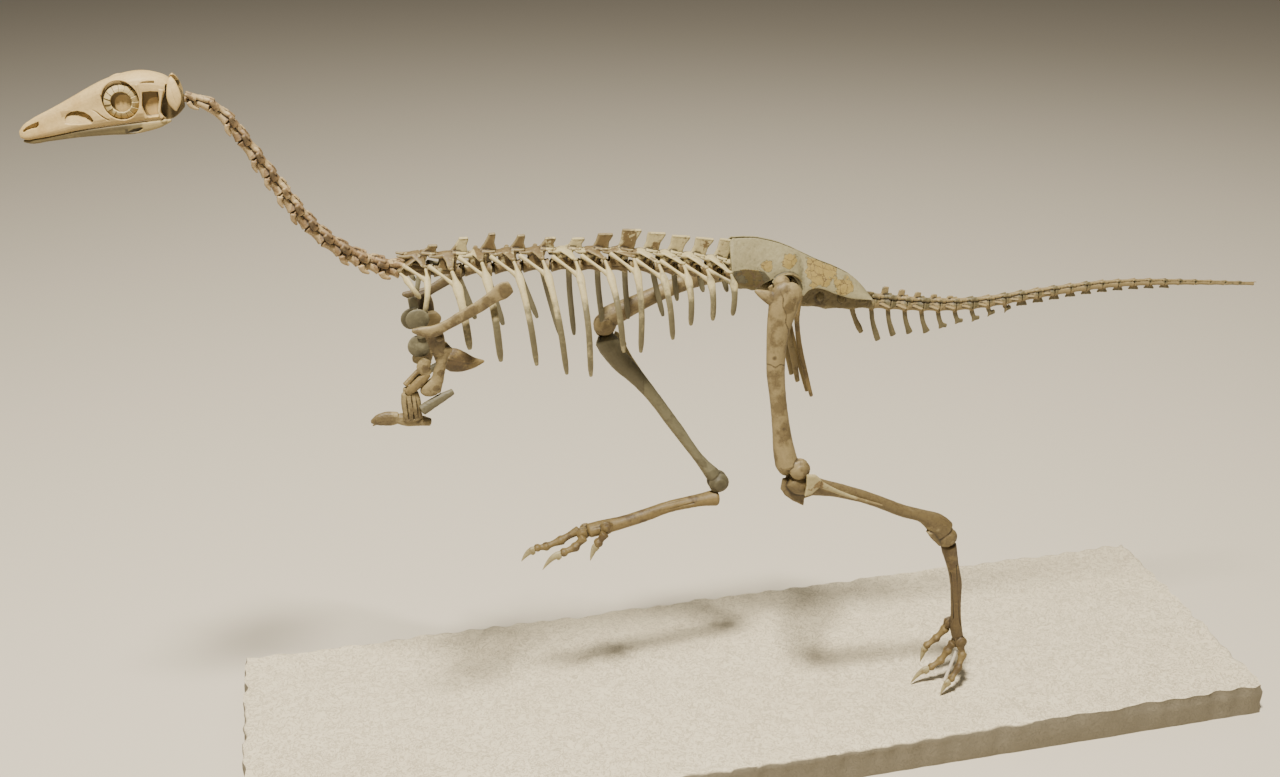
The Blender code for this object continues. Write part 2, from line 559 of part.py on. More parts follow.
def arms():
    for side, sign in SIDES.items():
        shaft = loft([(-219.0, -31.5, 376.2, 5.6, 3.4), (-218.6, -31.5, 372.4, 7.6, 4.0), (-220.2, -31.0, 365.0, 5.2, 3.2),
                      (-221.8, -30.5, 358.0, 3.2, 2.7), (-223.4, -30.0, 351.0, 3.7, 2.8),
                      (-225.6, -30.0, 346.0, 6.4, 3.8), (-226.0, -30.0, 343.0, 5.6, 3.4)], 6)
        bone(f"humerus_{side}", [shaft], BONE, mirror=sign > 0)
        for part, rows in ARMS[side].items():
            name = {"palm": f"hand_{side}", "thumb": f"thumb_{side}", "claw": f"thumb_claw_{side}"}.get(
                part, f"{part}_{side}")
            bone(name, [loft([(x, sign * y, z, deep, wide) for x, y, z, deep, wide in rows], 6)],
                 RESTORED if part in ("ulna", "radius") else BONE)


# ---------------------------------------------------------------- legs
def limb(a, b, rows, sides=8):
    """A shaft from joint to joint; rows are (mm past a, or short of b when negative), offset to the
    animal's front, offset outward, half depth and half width."""
    axis = (b - a).normalized()
    length = (b - a).length
    fore = Vector((axis.z, 0, -axis.x)).normalized()
    out = Vector((0, math.copysign(1, a.y + b.y), 0))
    return loft([(*(a + axis * (along * length) + fore * ahead + out * aside), deep, wide)
                 for along, ahead, aside, deep, wide in rows], sides)


def beside(a, b, along, ahead, aside=0.0):
    """A point by the line from a to b, as in limb's rows."""
    axis = (b - a).normalized()
    fore = Vector((axis.z, 0, -axis.x)).normalized()
    out = Vector((0, math.copysign(1, a.y + b.y), 0))
    return a + axis * (along * (b - a).length) + fore * ahead + out * aside


FEMUR_ROWS = ((-0.055, 2.5, 7, 7.5, 3.6), (-0.01, 3.0, 7, 11.6, 5.2), (0.07, 3.8, 7, 10.8, 5.6),
              (0.19, 7.4, 6, 8.0, 5.4), (0.32, 10.0, 5, 6.4, 5.0), (0.48, 10.2, 4, 6.6, 5.0),
              (0.65, 8.4, 2, 6.4, 5.2), (0.80, 5.6, 1, 8.2, 6.6), (0.89, 2.6, 0, 10.4, 8.6),
              (0.95, 0.4, 0, 9.6, 9.0))
TIBIA_ROWS = ((0.035, 2.0, 0, 7.6, 7.6), (0.07, 4.6, 0, 11.0, 8.6), (0.13, 6.2, 0, 9.6, 7.0),
              (0.19, 3.0, 0, 7.0, 5.4), (0.27, -0.9, 0, 5.8, 4.8), (0.42, -4.7, 0, 5.3, 4.6),
              (0.62, -7.6, 0, 4.8, 4.8), (0.78, -8.2, 0, 5.6, 5.8), (0.87, -7.6, 0, 7.0, 6.8),
              (0.93, -3.8, 0, 8.2, 7.4))
METATARSUS_ROWS = ((0.075, 1.6, 0, 5.8, 6.6), (0.22, 0.2, 0, 5.9, 5.6), (0.38, -0.9, 0, 5.1, 4.8),
                   (0.60, -1.5, 0, 4.4, 4.8), (0.75, -1.3, 0, 4.2, 5.6), (0.88, -0.7, 0, 4.4, 7.2),
                   (0.95, -0.4, 0, 4.4, 7.0))

TOES = {
    # joints of each toe, ending in the claw's tip: x, distance from the mid-plane, z
    "left": {"2": ((190, 15.5, 77), (183, 14, 69.5), (176, 12.5, 61.5), (168.5, 11, 47)),
             "3": ((195, 21.5, 62.5), (186.5, 21.5, 55.0), (178, 21, 48.5), (170, 20.5, 43), (158, 20, 29.6)),
             "4": ((199, 28.5, 63.5), (200.5, 32, 55), (196, 36.5, 45), (190, 39, 38), (178, 41.5, 29.6))},
    "right": {"2": ((-92, 23.6, 178.5), (-97.5, 23.8, 172), (-105.5, 24, 156.5)),
              "3": ((-110.5, 36.0, 174.5), (-116, 35.5, 167.5), (-125.5, 35, 163.5), (-144, 34.5, 152.7)),
              "4": ((-114.5, 42.5, 178.5), (-126, 42.5, 171.5), (-135, 42.5, 167.5), (-144, 42.5, 166.0),
                    (-159, 42.5, 158))},
}
PIN_FOOT, PIN_TOP = (190.5, -22.5, SLAB_HEIGHT + 2 * GAP), (197.5, -25.0, 59.0)


def toe(joints, radius):
    """Finger bones in a row, thick at the joints."""
    stations = []
    for i, (a, b) in enumerate(zip(joints, joints[1:])):
        size = radius * (1 - 0.12 * i)
        if i == 0:
            stations.append((*a, size, size))
        stations += [(*a.lerp(b, 0.5), size * 0.68, size * 0.68), (*b, size * 0.95, size * 0.95)]
    return loft(stations, 6)


def claw(base, tip, radius):
    """A curved, pointed claw."""
    reach = tip - base
    bulge = Vector((0, 0, 0.16 * reach.length))
    return loft([(*base, radius, radius * 0.7), (*(base + reach * 0.35 + bulge), radius * 0.9, radius * 0.6),
                 (*(base + reach * 0.72 + bulge * 0.75), radius * 0.5, radius * 0.4), (*tip, 0, 0)], 6)


def legs():
    for (side, sign), joints in zip(SIDES.items(), (LEFT_LEG, RIGHT_LEG)):
        hip = Vector((HIP[0], sign * HIP[1], HIP[2]))
        knee, shin, ankle, heel, ball = (Vector((x, sign * y, z)) for x, y, z in joints.values())
        ball_of_hip = loft([(*(hip + Vector((0, -sign * 8.5, 3.0))), 4.4, 4.4),
                            (*(hip + Vector((0, -sign * 5.0, 3.0))), 6.4, 6.4),
                            (*(hip + Vector((0, sign * 3.0, 1.5))), 5.6, 5.6)], 6, across=(1, 0, 0))
        spur = loft([(*beside(hip, knee, 0.03, 12, 7), 3.4, 2.2), (*beside(hip, knee, -0.015, 22, 7), 1.2, 1.0)], 4)
        condyles = pulley(beside(hip, knee, 0.955, -2.2), 7.4, 8.8)
        bone(f"femur_{side}", [limb(hip, knee, FEMUR_ROWS), ball_of_hip, spur, condyles], BONE)

        crest = loft([(*beside(shin, ankle, 0.08, 9, 0), 4.0, 1.8), (*beside(shin, ankle, 0.15, 17.5, 0), 2.6, 1.1)], 4)
        roller = pulley(beside(shin, ankle, 0.955, 0.6), 7.2, 6.8)
        bone(f"tibiotarsus_{side}", [limb(shin, ankle, TIBIA_ROWS), crest, roller], BONE)
        head_of_fibula = beside(shin, ankle, 0.075, -7.0, 10.2)
        rod = [(*head_of_fibula, 4.2, 1.4), (*beside(shin, ankle, 0.15, -4.0, 9.6), 3.0, 1.5),
               (*beside(shin, ankle, 0.30, -2.0, 7.4), 1.7, 1.3), (*beside(shin, ankle, 0.52, -5.0, 6.4), 1.0, 1.0)]
        bone(f"fibula_{side}", [loft(rod, 6)], RESTORED)

        heads = [knuckle(beside(heel, ball, where, -0.3, aside), 5.0, 2.5)
                 for where, aside in ((0.88, -6.0), (0.965, 0), (0.93, 6.0))]
        bone(f"metatarsus_{side}", [limb(heel, ball, METATARSUS_ROWS, sides=6)] + heads, BONE)
        for number, places in TOES[side].items():
            points = [Vector((x, sign * y, z)) for x, y, z in places]
            bone(f"toe_{number}_{side}", [toe(points[:-1], 3.3)], BONE)
            start = points[-2] + (points[-1] - points[-2]).normalized() * (3.3 * 0.8)
            bone(f"toe_claw_{number}_{side}", [claw(start, points[-1], 2.9)], CLAW)


clear_scene()
SKELETON = bpy.data.objects.new("skeleton", None)
SKELETON.location = (0, MID_Y * MM, 0)
PARTS.objects.link(SKELETON)
stand()
head()
neck()
ribcage()
sacrum()
hips()
tail()
shoulders()
arms()
legs()
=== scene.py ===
# %% [markdown]
# # A mounted skeleton of a small running dinosaur
# The bones are resin casts of a one-clawed dinosaur, nearly a metre long, set up running on a slab
# of plaster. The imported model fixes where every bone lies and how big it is. This lesson grows a
# finer bone around each of its plain ones and gives it a cast and painted finish.

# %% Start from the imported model
import math
import random

import bmesh
import bpy
import numpy as np
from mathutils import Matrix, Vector


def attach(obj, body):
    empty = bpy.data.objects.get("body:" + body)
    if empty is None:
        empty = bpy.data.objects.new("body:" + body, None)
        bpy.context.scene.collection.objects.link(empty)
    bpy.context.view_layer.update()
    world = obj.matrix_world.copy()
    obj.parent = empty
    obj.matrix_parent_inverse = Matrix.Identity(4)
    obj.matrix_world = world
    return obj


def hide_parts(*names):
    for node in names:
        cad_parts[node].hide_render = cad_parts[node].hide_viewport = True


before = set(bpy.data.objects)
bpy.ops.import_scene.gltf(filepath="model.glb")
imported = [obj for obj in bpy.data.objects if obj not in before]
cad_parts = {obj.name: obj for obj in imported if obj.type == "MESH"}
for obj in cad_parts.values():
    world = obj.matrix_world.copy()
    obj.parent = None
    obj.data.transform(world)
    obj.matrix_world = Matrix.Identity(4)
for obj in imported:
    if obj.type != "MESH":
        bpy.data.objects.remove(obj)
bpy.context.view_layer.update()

MM = 0.001               # measures below are in mm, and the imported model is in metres
MID_Y = -31.0            # the animal's mid-plane, nearer the slab's front edge
SIDES = {"left": -1, "right": 1}
print("nodes to dress:", len(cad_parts))

# %% [markdown]
# ## Curves through measured points
# A bone is measured at a handful of places: where its middle is and how thick it is there. A
# Hermite curve through those rows gives all the places between, so a long bone swells and narrows
# without corners. `np.gradient` takes the slope at each row and knows how far apart the rows are.

# %% More rows between the measured ones
def flow(rows, steps):
    """Rows on the smooth curve through the given rows, `steps` for each gap."""
    rows = np.array(rows, float)
    if len(rows) < 3:
        return np.array([rows[0] + (rows[-1] - rows[0]) * k / steps for k in range(steps + 1)])
    gaps = np.linalg.norm(np.diff(rows[:, :3], axis=0), axis=1)
    reach = np.concatenate([[0], np.cumsum(np.maximum(gaps, 1e-6))])
    slope = np.gradient(rows, reach, axis=0)
    out = []
    for i, gap in enumerate(np.diff(reach)):
        for k in range(steps):
            t = k / steps
            out.append((2 * t ** 3 - 3 * t ** 2 + 1) * rows[i] + (t ** 3 - 2 * t ** 2 + t) * gap * slope[i]
                       + (3 * t ** 2 - 2 * t ** 3) * rows[i + 1] + (t ** 3 - t ** 2) * gap * slope[i + 1])
    return np.array(out + [rows[-1]])


print("4 rows become", len(flow([(0, 0, step) for step in range(4)], 5)))

# %% [markdown]
# ## Pieces of bone
# Every bone is made of a few closed skins that overlap: a shaft, its knobs, its blades. A skin is
# kept as plain points and faces until the very end, which makes it quick to copy, mirror or join.

# %% Skins over rings
THINNEST = 0.12          # half the thickness a bone may taper to, in mm


def skin(rings):
    """Points and faces of a closed skin over rings of equal size."""
    rings = np.array(rings, float)
    count, sides = rings.shape[:2]
    faces = [(i * sides + k, i * sides + (k + 1) % sides, (i + 1) * sides + (k + 1) % sides,
              (i + 1) * sides + k) for i in range(count - 1) for k in range(sides)]
    faces += [tuple(range(sides)), tuple(range((count - 1) * sides, count * sides))]
    return rings.reshape(-1, 3), faces


def shaft(rows, sides=14, steps=5, across=(0, 1, 0), dome=0.45, box=1.0):
    """A bone shaft. A row is (x, y, z, half depth, half width) in mm, with the width along
    `across`. dome rounds the ends, and box below 1 squares the section."""
    rows = flow(rows, steps)
    centre, deep, wide = rows[:, :3], *np.maximum(rows[:, 3:5], THINNEST).T
    tangent = np.gradient(centre, axis=0)
    tangent /= np.linalg.norm(tangent, axis=1)[:, None]
    side = np.array(across, float) - tangent * (tangent @ np.array(across, float))[:, None]
    side /= np.linalg.norm(side, axis=1)[:, None]
    front = np.cross(tangent, side)
    caps = [(share * dome, math.sqrt(1 - share ** 2)) for share in (0.98, 0.85, 0.5)]
    spots = [(0, -out, size) for out, size in caps] + [(i, 0, 1) for i in range(len(rows))]
    spots += [(len(rows) - 1, out, size) for out, size in reversed(caps)]
    turn = 2 * np.pi * (np.arange(sides) + 0.5) / sides
    c, s = (np.sign(f) * np.abs(f) ** box for f in (np.cos(turn), np.sin(turn)))
    return skin([centre[i] + tangent[i] * out * min(deep[i], wide[i])
                 + np.outer(c, front[i]) * deep[i] * size + np.outer(s, side[i]) * wide[i] * size
                 for i, out, size in spots])


# %% Knobs, plates and mirrored pieces
def blob(centre, radii, levels=10, sides=14):
    """A knob: a rounded lump with the three half sizes given."""
    turn = 2 * np.pi * np.arange(sides) / sides
    rings = []
    for down in math.pi * np.arange(1, levels) / levels:
        ring = np.stack([math.sin(down) * np.cos(turn), math.sin(down) * np.sin(turn),
                         np.full(sides, math.cos(down))], axis=1)
        rings.append(np.array(centre) + np.array(radii) * ring)
    return skin(rings)


def prism(outline, y_low, y_high):
    """A flat (x, z) outline stretched along Y."""
    return skin([[(x, y, z) for x, z in outline] for y in (y_low, y_high)])


def thick_plate(points, thick, bevel, edge=0.5):
    """A plate through the given points, thinner at its edge, with `bevel` the size of its faces."""
    middle = points.mean(axis=0)
    inner = middle + (points - middle) * bevel
    return skin([inner - (0, thick, 0), points - (0, edge * thick, 0), points + (0, edge * thick, 0),
                 inner + (0, thick, 0)])


def flip(piece):
    """The same piece on the animal's other side."""
    return piece[0] * (1, -1, 1), piece[1]


def one_side(piece, sign):
    """A piece drawn for the left side, on the side asked for."""
    return flip(piece) if sign > 0 else piece


def both(pieces):
    """The pieces, and their mirror images."""
    return list(pieces) + [flip(piece) for piece in pieces]


print("a knob has", len(blob((0, 0, 0), (3, 3, 3))[1]), "faces")

# %% [markdown]
# ## From pieces to one bone
# Overlapping skins would show hard seams. The Remesh modifier wraps all of them in one new skin of
# even little squares, as if the bone had been cast in one pour, and Smooth rounds what the squares
# leave. A Displace with a fine cloud pattern then gives the slightly pitted surface of real bone.

# %% Meshes, cuts and joins
def to_object(name, pieces):
    """One object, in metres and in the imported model's frame, from pieces in mm."""
    points, faces = [], []
    for spots, polygons in pieces:
        start = sum(len(p) for p in points)
        points.append(spots)
        faces += [[start + i for i in polygon] for polygon in polygons]
    mesh = bpy.data.meshes.new(name)
    mesh.from_pydata(np.concatenate(points) * MM, [], faces)
    bm = bmesh.new()
    bm.from_mesh(mesh)
    bmesh.ops.recalc_face_normals(bm, faces=bm.faces)
    bm.to_mesh(mesh)
    bm.free()
    obj = bpy.data.objects.new(name, mesh)
    bpy.context.scene.collection.objects.link(obj)
    return obj


def settle(obj):
    """Turns an object's modifiers into its mesh."""
    evaluated = obj.evaluated_get(bpy.context.evaluated_depsgraph_get())
    old, obj.data = obj.data, bpy.data.meshes.new_from_object(evaluated)
    obj.modifiers.clear()
    bpy.data.meshes.remove(old)


def carve(piece, cutters):
    """The piece with the cutters taken out of it."""
    obj = to_object("carving", [piece])
    tools = [to_object("cutter", [cutter]) for cutter in cutters]
    for tool in tools:
        cut = obj.modifiers.new("cut", "BOOLEAN")
        cut.operation, cut.solver, cut.object = "DIFFERENCE", "EXACT", tool
    settle(obj)
    points = np.array([v.co / MM for v in obj.data.vertices])
    faces = [tuple(p.vertices) for p in obj.data.polygons]
    for used in [obj] + tools:
        bpy.data.objects.remove(used, do_unlink=True)
    return points, faces


# %% [markdown]
# The paint on a cast runs into the hollows and is rubbed off the edges; the dark in the hollows
# is also painted shade for the shade that falls in them. To let the paint know where those are,
# each bone carries a number at every point: how far the point lies below (or above) the average
# of its neighbours. It is measured twice, close by and further out.

# %% How hollow each point is
NEAR_STEPS, NEAR_DEPTH = 6, 0.10 * MM     # steps of blurring, and a depth that counts as a full pit
FAR_STEPS, FAR_DEPTH = 24, 0.35 * MM


def numbers(collection, name, width, kind=float):
    """One property of every vertex or edge, as rows of an array."""
    out = np.empty(len(collection) * width, kind)
    collection.foreach_get(name, out)
    return out.reshape(-1, width)


def store(mesh, name, values):
    """Keeps one number for each point, for the paint to read."""
    mesh.attributes.new(name, "FLOAT", "POINT").data.foreach_set("value", values.astype(np.float32))


def mark_hollows(mesh):
    """Stores the point attribute `hollow`: above 0 in pits and grooves, below 0 on edges."""
    place, normal = numbers(mesh.vertices, "co", 3), numbers(mesh.vertices, "normal", 3)
    a, b = numbers(mesh.edges, "vertices", 2, np.int64).T
    ends, others = np.concatenate([a, b]), np.concatenate([b, a])
    count = len(place)
    neighbours = np.maximum(np.bincount(ends, minlength=count), 1)
    blurred, total = place, np.zeros(count)
    for step in range(1, FAR_STEPS + 1):
        blurred = np.stack([np.bincount(ends, weights=blurred[others, k], minlength=count) / neighbours
                            for k in range(3)], axis=1)
        if step in (NEAR_STEPS, FAR_STEPS):
            depth = ((blurred - place) * normal).sum(axis=1)
            total += np.clip(depth / (NEAR_DEPTH if step == NEAR_STEPS else FAR_DEPTH), -1.5, 1.5) * 0.5
    store(mesh, "hollow", total)


print("hollows are read", NEAR_STEPS, "and", FAR_STEPS, "points away")

# %% [markdown]
# Painters do not wash a whole skeleton evenly. A second number says where each bone is painted
# darker: 0 keeps the pale ground, 1 is fully washed, one half leaves it to chance, and 2 is dark.
# It paints real stains on some bones and painted shade on others: the skull's openings, the jaw,
# the hip blades and the ribs. It is one number for a bone, or a function of the place on it.

# %% Where the paint is darker
def mark_stains_and_shade(mesh, stain_and_shade):
    """Stores the point attribute for stains and painted shade, from a number or a function of x, side and z in
    mm.
    """
    x, y, z = numbers(mesh.vertices, "co", 3).T / MM
    share = stain_and_shade(x, y - MID_Y, z) if callable(stain_and_shade) else stain_and_shade
    store(mesh, "stain_and_shade", np.broadcast_to(share, x.shape))


def around(x, z, *spots):
    """1 inside the given (x, z, reach) circles, falling to 0 at their edges."""
    share = np.zeros(len(x))
    for spot_x, spot_z, reach in spots:
        share = np.maximum(share, np.clip(1.2 - 1.2 * np.hypot(x - spot_x, z - spot_z) / reach, 0, 1))
    return share


def ramp(values, at_0, at_1):
    """0 at `at_0`, 1 at `at_1` and even steps between."""
    return np.clip((values - at_0) / (at_1 - at_0), 0, 1)


print("a spot fades over its rim:", around(np.array([0, 4, 8, 12]), np.zeros(4), (0, 0, 10)))

# %% [markdown]
# Every bone goes through the same steps, so one function does them all: join, remesh, soften,
# pit, mark, paint, and hand the result to the frame in place of the plain solid. The squares of
# the remesh, `voxel`, are as small as the finest edge of that bone needs, in millimetres.

# %% The bone maker
MADE = []


def bone(name, pieces, finish, node=None, voxel=0.45, soften=3, pitted=0.10, grain=3.0, stain_and_shade=0.5):
    """One finished bone: the pieces fused, softened and pitted, in place of its node."""
    obj = to_object(name, [(points + (0, MID_Y, 0), faces) for points, faces in pieces])
    wrap = obj.modifiers.new("wrap", "REMESH")
    wrap.mode, wrap.voxel_size, wrap.use_smooth_shade = "VOXEL", voxel * MM, True
    soft = obj.modifiers.new("soften", "SMOOTH")
    soft.factor, soft.iterations = 0.5, soften
    if pitted:
        cloud = bpy.data.textures.new(name + "_pits", "CLOUDS")
        cloud.noise_scale, cloud.noise_depth = grain * MM, 2
        rough = obj.modifiers.new("pits", "DISPLACE")
        rough.texture, rough.strength, rough.mid_level = cloud, pitted * 2 * MM, 0.5
    settle(obj)
    obj.data.shade_smooth()
    mark_hollows(obj.data)
    mark_stains_and_shade(obj.data, stain_and_shade)
    obj.data.materials.clear()
    obj.data.materials.append(finish)
    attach(obj, "root")
    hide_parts(*(node or [name]))
    MADE.append(obj)
    print(f"{name}: {len(obj.data.polygons)} faces")


# %% [markdown]
# ## Paint on cast resin
# Museum casts are poured in polyurethane resin and painted by hand: a pale ground on the parts a
# sculptor restored, tan to brown washes on the parts moulded from real bone. The resin is a
# plastic (index of refraction about 1.5), matt from its paint. Colours are written as sRGB hex
# and turned linear by one function, and pattern sizes are real ones, in millimetres.

# %% Colour and node helpers
def srgb(code):
    """Linear colour from an sRGB hex code."""
    channels = (int(code[i:i + 2], 16) / 255 for i in (1, 3, 5))
    return (*(c / 12.92 if c <= 0.04045 else ((c + 0.055) / 1.055) ** 2.4 for c in channels), 1)


def add(tree, kind, inputs=None, **settings):
    """Adds a node with its settings; an input's value is a number, a colour or another node's socket."""
    made = tree.nodes.new("ShaderNode" + kind)
    for name, value in settings.items():
        setattr(made, name, value)
    for name, value in (inputs or {}).items():
        if isinstance(value, bpy.types.NodeSocket):
            tree.links.new(value, made.inputs[name])
        else:
            made.inputs[name].default_value = value
    return made


def per_mm(size):
    """A pattern's scale from the real size of its features in mm."""
    return 1 / (size * MM)


print("mid grey #808080 is", round(srgb("#808080")[0], 3), "in linear light")

# %% [markdown]
# The paint is built up as a painter would. Large clouds decide where the wash goes, its border
# dries a little darker, and fine mottling breaks it up. Then the stain number darkens real stains
# and painted shade, and the hollow number gives the hollows a dark wash that is also painted
# shade. Edges are rubbed back to the ground coat, and specks and hairline cracks come last. The
# cracks and specks also dent the surface through the bump.

# %% Painted resin
FLAW_BROWN = "#463523"
MOTTLE, DOTS, DOT_CLOUDS, CRACK_CELLS, GRAIN = 2.2, 3.4, 11, 7, 0.9      # pattern sizes in mm


def painted_resin(name, ground, wash, dark, washed=0.5, hollows=0.6, specks=0.4, cracks=0.3,
                  roughness=0.58, patch=16.0, soft=0.05, rim=0.35):
    """Resin: ground coat, patches of wash, hollows dark with wash and painted shade, pale edges, specks, fine
    cracks.
    """
    mat = bpy.data.materials.new(name)
    mat.use_nodes = True
    tree = mat.node_tree
    shader = tree.nodes["Principled BSDF"]
    place = add(tree, "TexCoord").outputs["Object"]

    def blend(share, below, above, how="MIX"):
        return add(tree, "MixRGB", {"Fac": share, "Color1": below, "Color2": above}, blend_type=how).outputs[0]

    def span(value, low, high, at_low=0.0, at_high=1.0):
        return add(tree, "MapRange", {"Value": value, "From Min": low, "From Max": high, "To Min": at_low,
                                      "To Max": at_high}).outputs[0]

    def sums(how, first, second=0.0):
        return add(tree, "Math", {0: first, 1: second}, operation=how).outputs[0]

    cloud = add(tree, "TexNoise", {"Vector": place, "Scale": per_mm(patch), "Detail": 5, "Roughness": 0.62})
    stain_shade = add(tree, "Attribute", attribute_name="stain_and_shade").outputs["Fac"]
    level = sums("ADD", span(cloud.outputs["Fac"], 0.3, 0.7), span(stain_shade, 0, 1, -0.5, 0.5))
    border = 0.8 - 0.6 * washed
    patches = span(level, border, border + soft)
    colour = blend(patches, srgb(ground), srgb(wash))
    outline = sums("SUBTRACT", 1.0, sums("ABSOLUTE", span(level, border - 0.03, border + 0.03, -1, 1)))
    colour = blend(sums("MULTIPLY", outline, rim), colour, srgb(dark))
    mottle = add(tree, "TexNoise", {"Vector": place, "Scale": per_mm(MOTTLE), "Detail": 4, "Roughness": 0.7})
    colour = blend(1.0, colour, span(mottle.outputs["Fac"], 0.3, 0.7, 0.86, 1.1), "MULTIPLY")
    # stain numbers from 1.1 to 2 paint dark: real stains on some bones, painted shade on others
    colour = blend(span(stain_shade, 1.1, 2, 0, 0.85), colour, srgb(dark))
    depth = add(tree, "Attribute", attribute_name="hollow").outputs["Fac"]
    # the hollows darken: a dark wash and painted shade in one
    colour = blend(span(depth, 0.05, 0.75, 0, hollows), colour, srgb(dark))
    colour = blend(span(depth, -0.15, -1.1, 0, 0.3), colour, srgb(ground))
    bent = blend(0.004, place, mottle.outputs["Color"], "ADD")
    dots = add(tree, "TexVoronoi", {"Vector": bent, "Scale": per_mm(DOTS)})
    where = add(tree, "TexNoise", {"Vector": place, "Scale": per_mm(DOT_CLOUDS), "Detail": 2})
    dot = sums("MULTIPLY", span(dots.outputs["Distance"], 0.10, 0.22, 1, 0),
               span(where.outputs["Fac"], 0.5, 0.66, 0, specks))
    lines = add(tree, "TexVoronoi", {"Vector": bent, "Scale": per_mm(CRACK_CELLS)}, feature="DISTANCE_TO_EDGE")
    line = sums("MULTIPLY", span(lines.outputs["Distance"], 0.008, 0.04, cracks, 0), patches)
    flaws = sums("MAXIMUM", sums("MULTIPLY", dot, span(patches, 0, 1, 0.3, 1)), line)
    colour = blend(flaws, colour, srgb(FLAW_BROWN))
    tree.links.new(colour, shader.inputs["Base Color"])
    matt = span(mottle.outputs["Fac"], 0, 1, roughness - 0.1, roughness + 0.12)
    tree.links.new(matt, shader.inputs["Roughness"])
    grain = add(tree, "TexNoise", {"Vector": place, "Scale": per_mm(GRAIN), "Detail": 3})
    height = sums("SUBTRACT", grain.outputs["Fac"], flaws)
    bump = add(tree, "Bump", {"Height": height, "Strength": 0.35, "Distance": 0.25 * MM})
    tree.links.new(bump.outputs[0], shader.inputs["Normal"])
    shader.inputs["IOR"].default_value = 1.5
    return mat


# %% [markdown]
# The restored bones are cream and the moulded ones tan to brown. The ones in the back row, and a
# few more that lie in shade, are an olive grey that is painted shade. `washed` is the share of the
# surface under the wash and `patch` the size of its clouds in millimetres; a sculpted, unbroken
# bone has no cracks.

# %% The finishes
SKULL_RESIN = painted_resin("smooth_cream_resin", "#B99F6A", "#AE925C", "#3F351E", washed=0.35, hollows=0.4,
                            specks=0.05, cracks=0.0, patch=22, soft=0.3, rim=0)
RING_RESIN = painted_resin("pale_ring_resin", "#AF9C6C", "#A18D5E", "#43371F", washed=0.35, hollows=1.0,
                           specks=0, cracks=0, rim=0)
JAW_RESIN = painted_resin("olive_jaw_resin", "#928054", "#645838", "#362D1A", washed=0.5, hollows=0.6,
                          specks=0.1, cracks=0, patch=22, soft=0.3, rim=0)
CREAM = painted_resin("restored_cream_resin", "#A3966D", "#7A653F", "#42351F", washed=0.3, specks=0.2, cracks=0.5)
HIP_RESIN = painted_resin("patched_hip_resin", "#888060", "#8B7843", "#1F190C", washed=0.0, hollows=0.7,
                          specks=0.3, cracks=0.9, patch=13, soft=0.03, rim=0.8)
BACK = painted_resin("cream_back_resin", "#A89B71", "#62502F", "#2D230D", washed=0.3, hollows=0.9, specks=0.3,
                     cracks=0.2, patch=7, soft=0.12, rim=0.2)
RIB = painted_resin("cream_rib_resin", "#AC9E73", "#4F4933", "#2E2716", washed=0.75, hollows=0.6, specks=0.1,
                    cracks=0.0, patch=10, soft=0.5, rim=0)
TAN = painted_resin("tan_bone_resin", "#857550", "#625334", "#2F2516", washed=0.5, hollows=0.8, specks=0.8,
                    cracks=0.6, soft=0.2, rim=0.15)
BROWN = painted_resin("brown_bone_resin", "#76643D", "#534329", "#261E10", washed=0.5, hollows=0.8, specks=0.7,
                      cracks=0.5, soft=0.2, rim=0.15)
PINK = painted_resin("pinkish_bone_resin", "#A08A63", "#735B3B", "#2C2010", washed=0.5, hollows=1.0, specks=0.6,
                     cracks=0.1, patch=8, soft=0.2, rim=0.1)
# olive grey as painted shade, for the back row and the bones in shade
OLIVE_SHADE = painted_resin("olive_grey_shade_resin", "#767056", "#5C5640", "#3A3320", washed=0.4, specks=0.15, cracks=0.05,
                      soft=0.25, rim=0)
TAIL_RESIN = painted_resin("brown_tail_resin", "#84734E", "#5B5439", "#271E0F", washed=0.5, hollows=1.0,
                           specks=0.5, cracks=0.1, patch=9, soft=0.2, rim=0.1)
UMBER = painted_resin("dark_olive_resin", "#6F6342", "#4B3F23", "#292010", washed=0.5, specks=0.5, cracks=0.3,
                      soft=0.1)
CLAW = painted_resin("claw_resin", "#9B906A", "#76643F", "#40331B", washed=0.35, specks=0.2, cracks=0.2,
                     roughness=0.48, patch=7, soft=0.3)
print("resins:", [m.name for m in bpy.data.materials])

# %% [markdown]
# ## The head
# The skull is a long, low wedge. Its sections across the snout are simple: narrow at the roof,
# wide at the jaw line. Each is skinned with a smooth curve. The head is drawn level, measured in
# millimetres from the tip of the snout, and tipped up into its place at the very end.

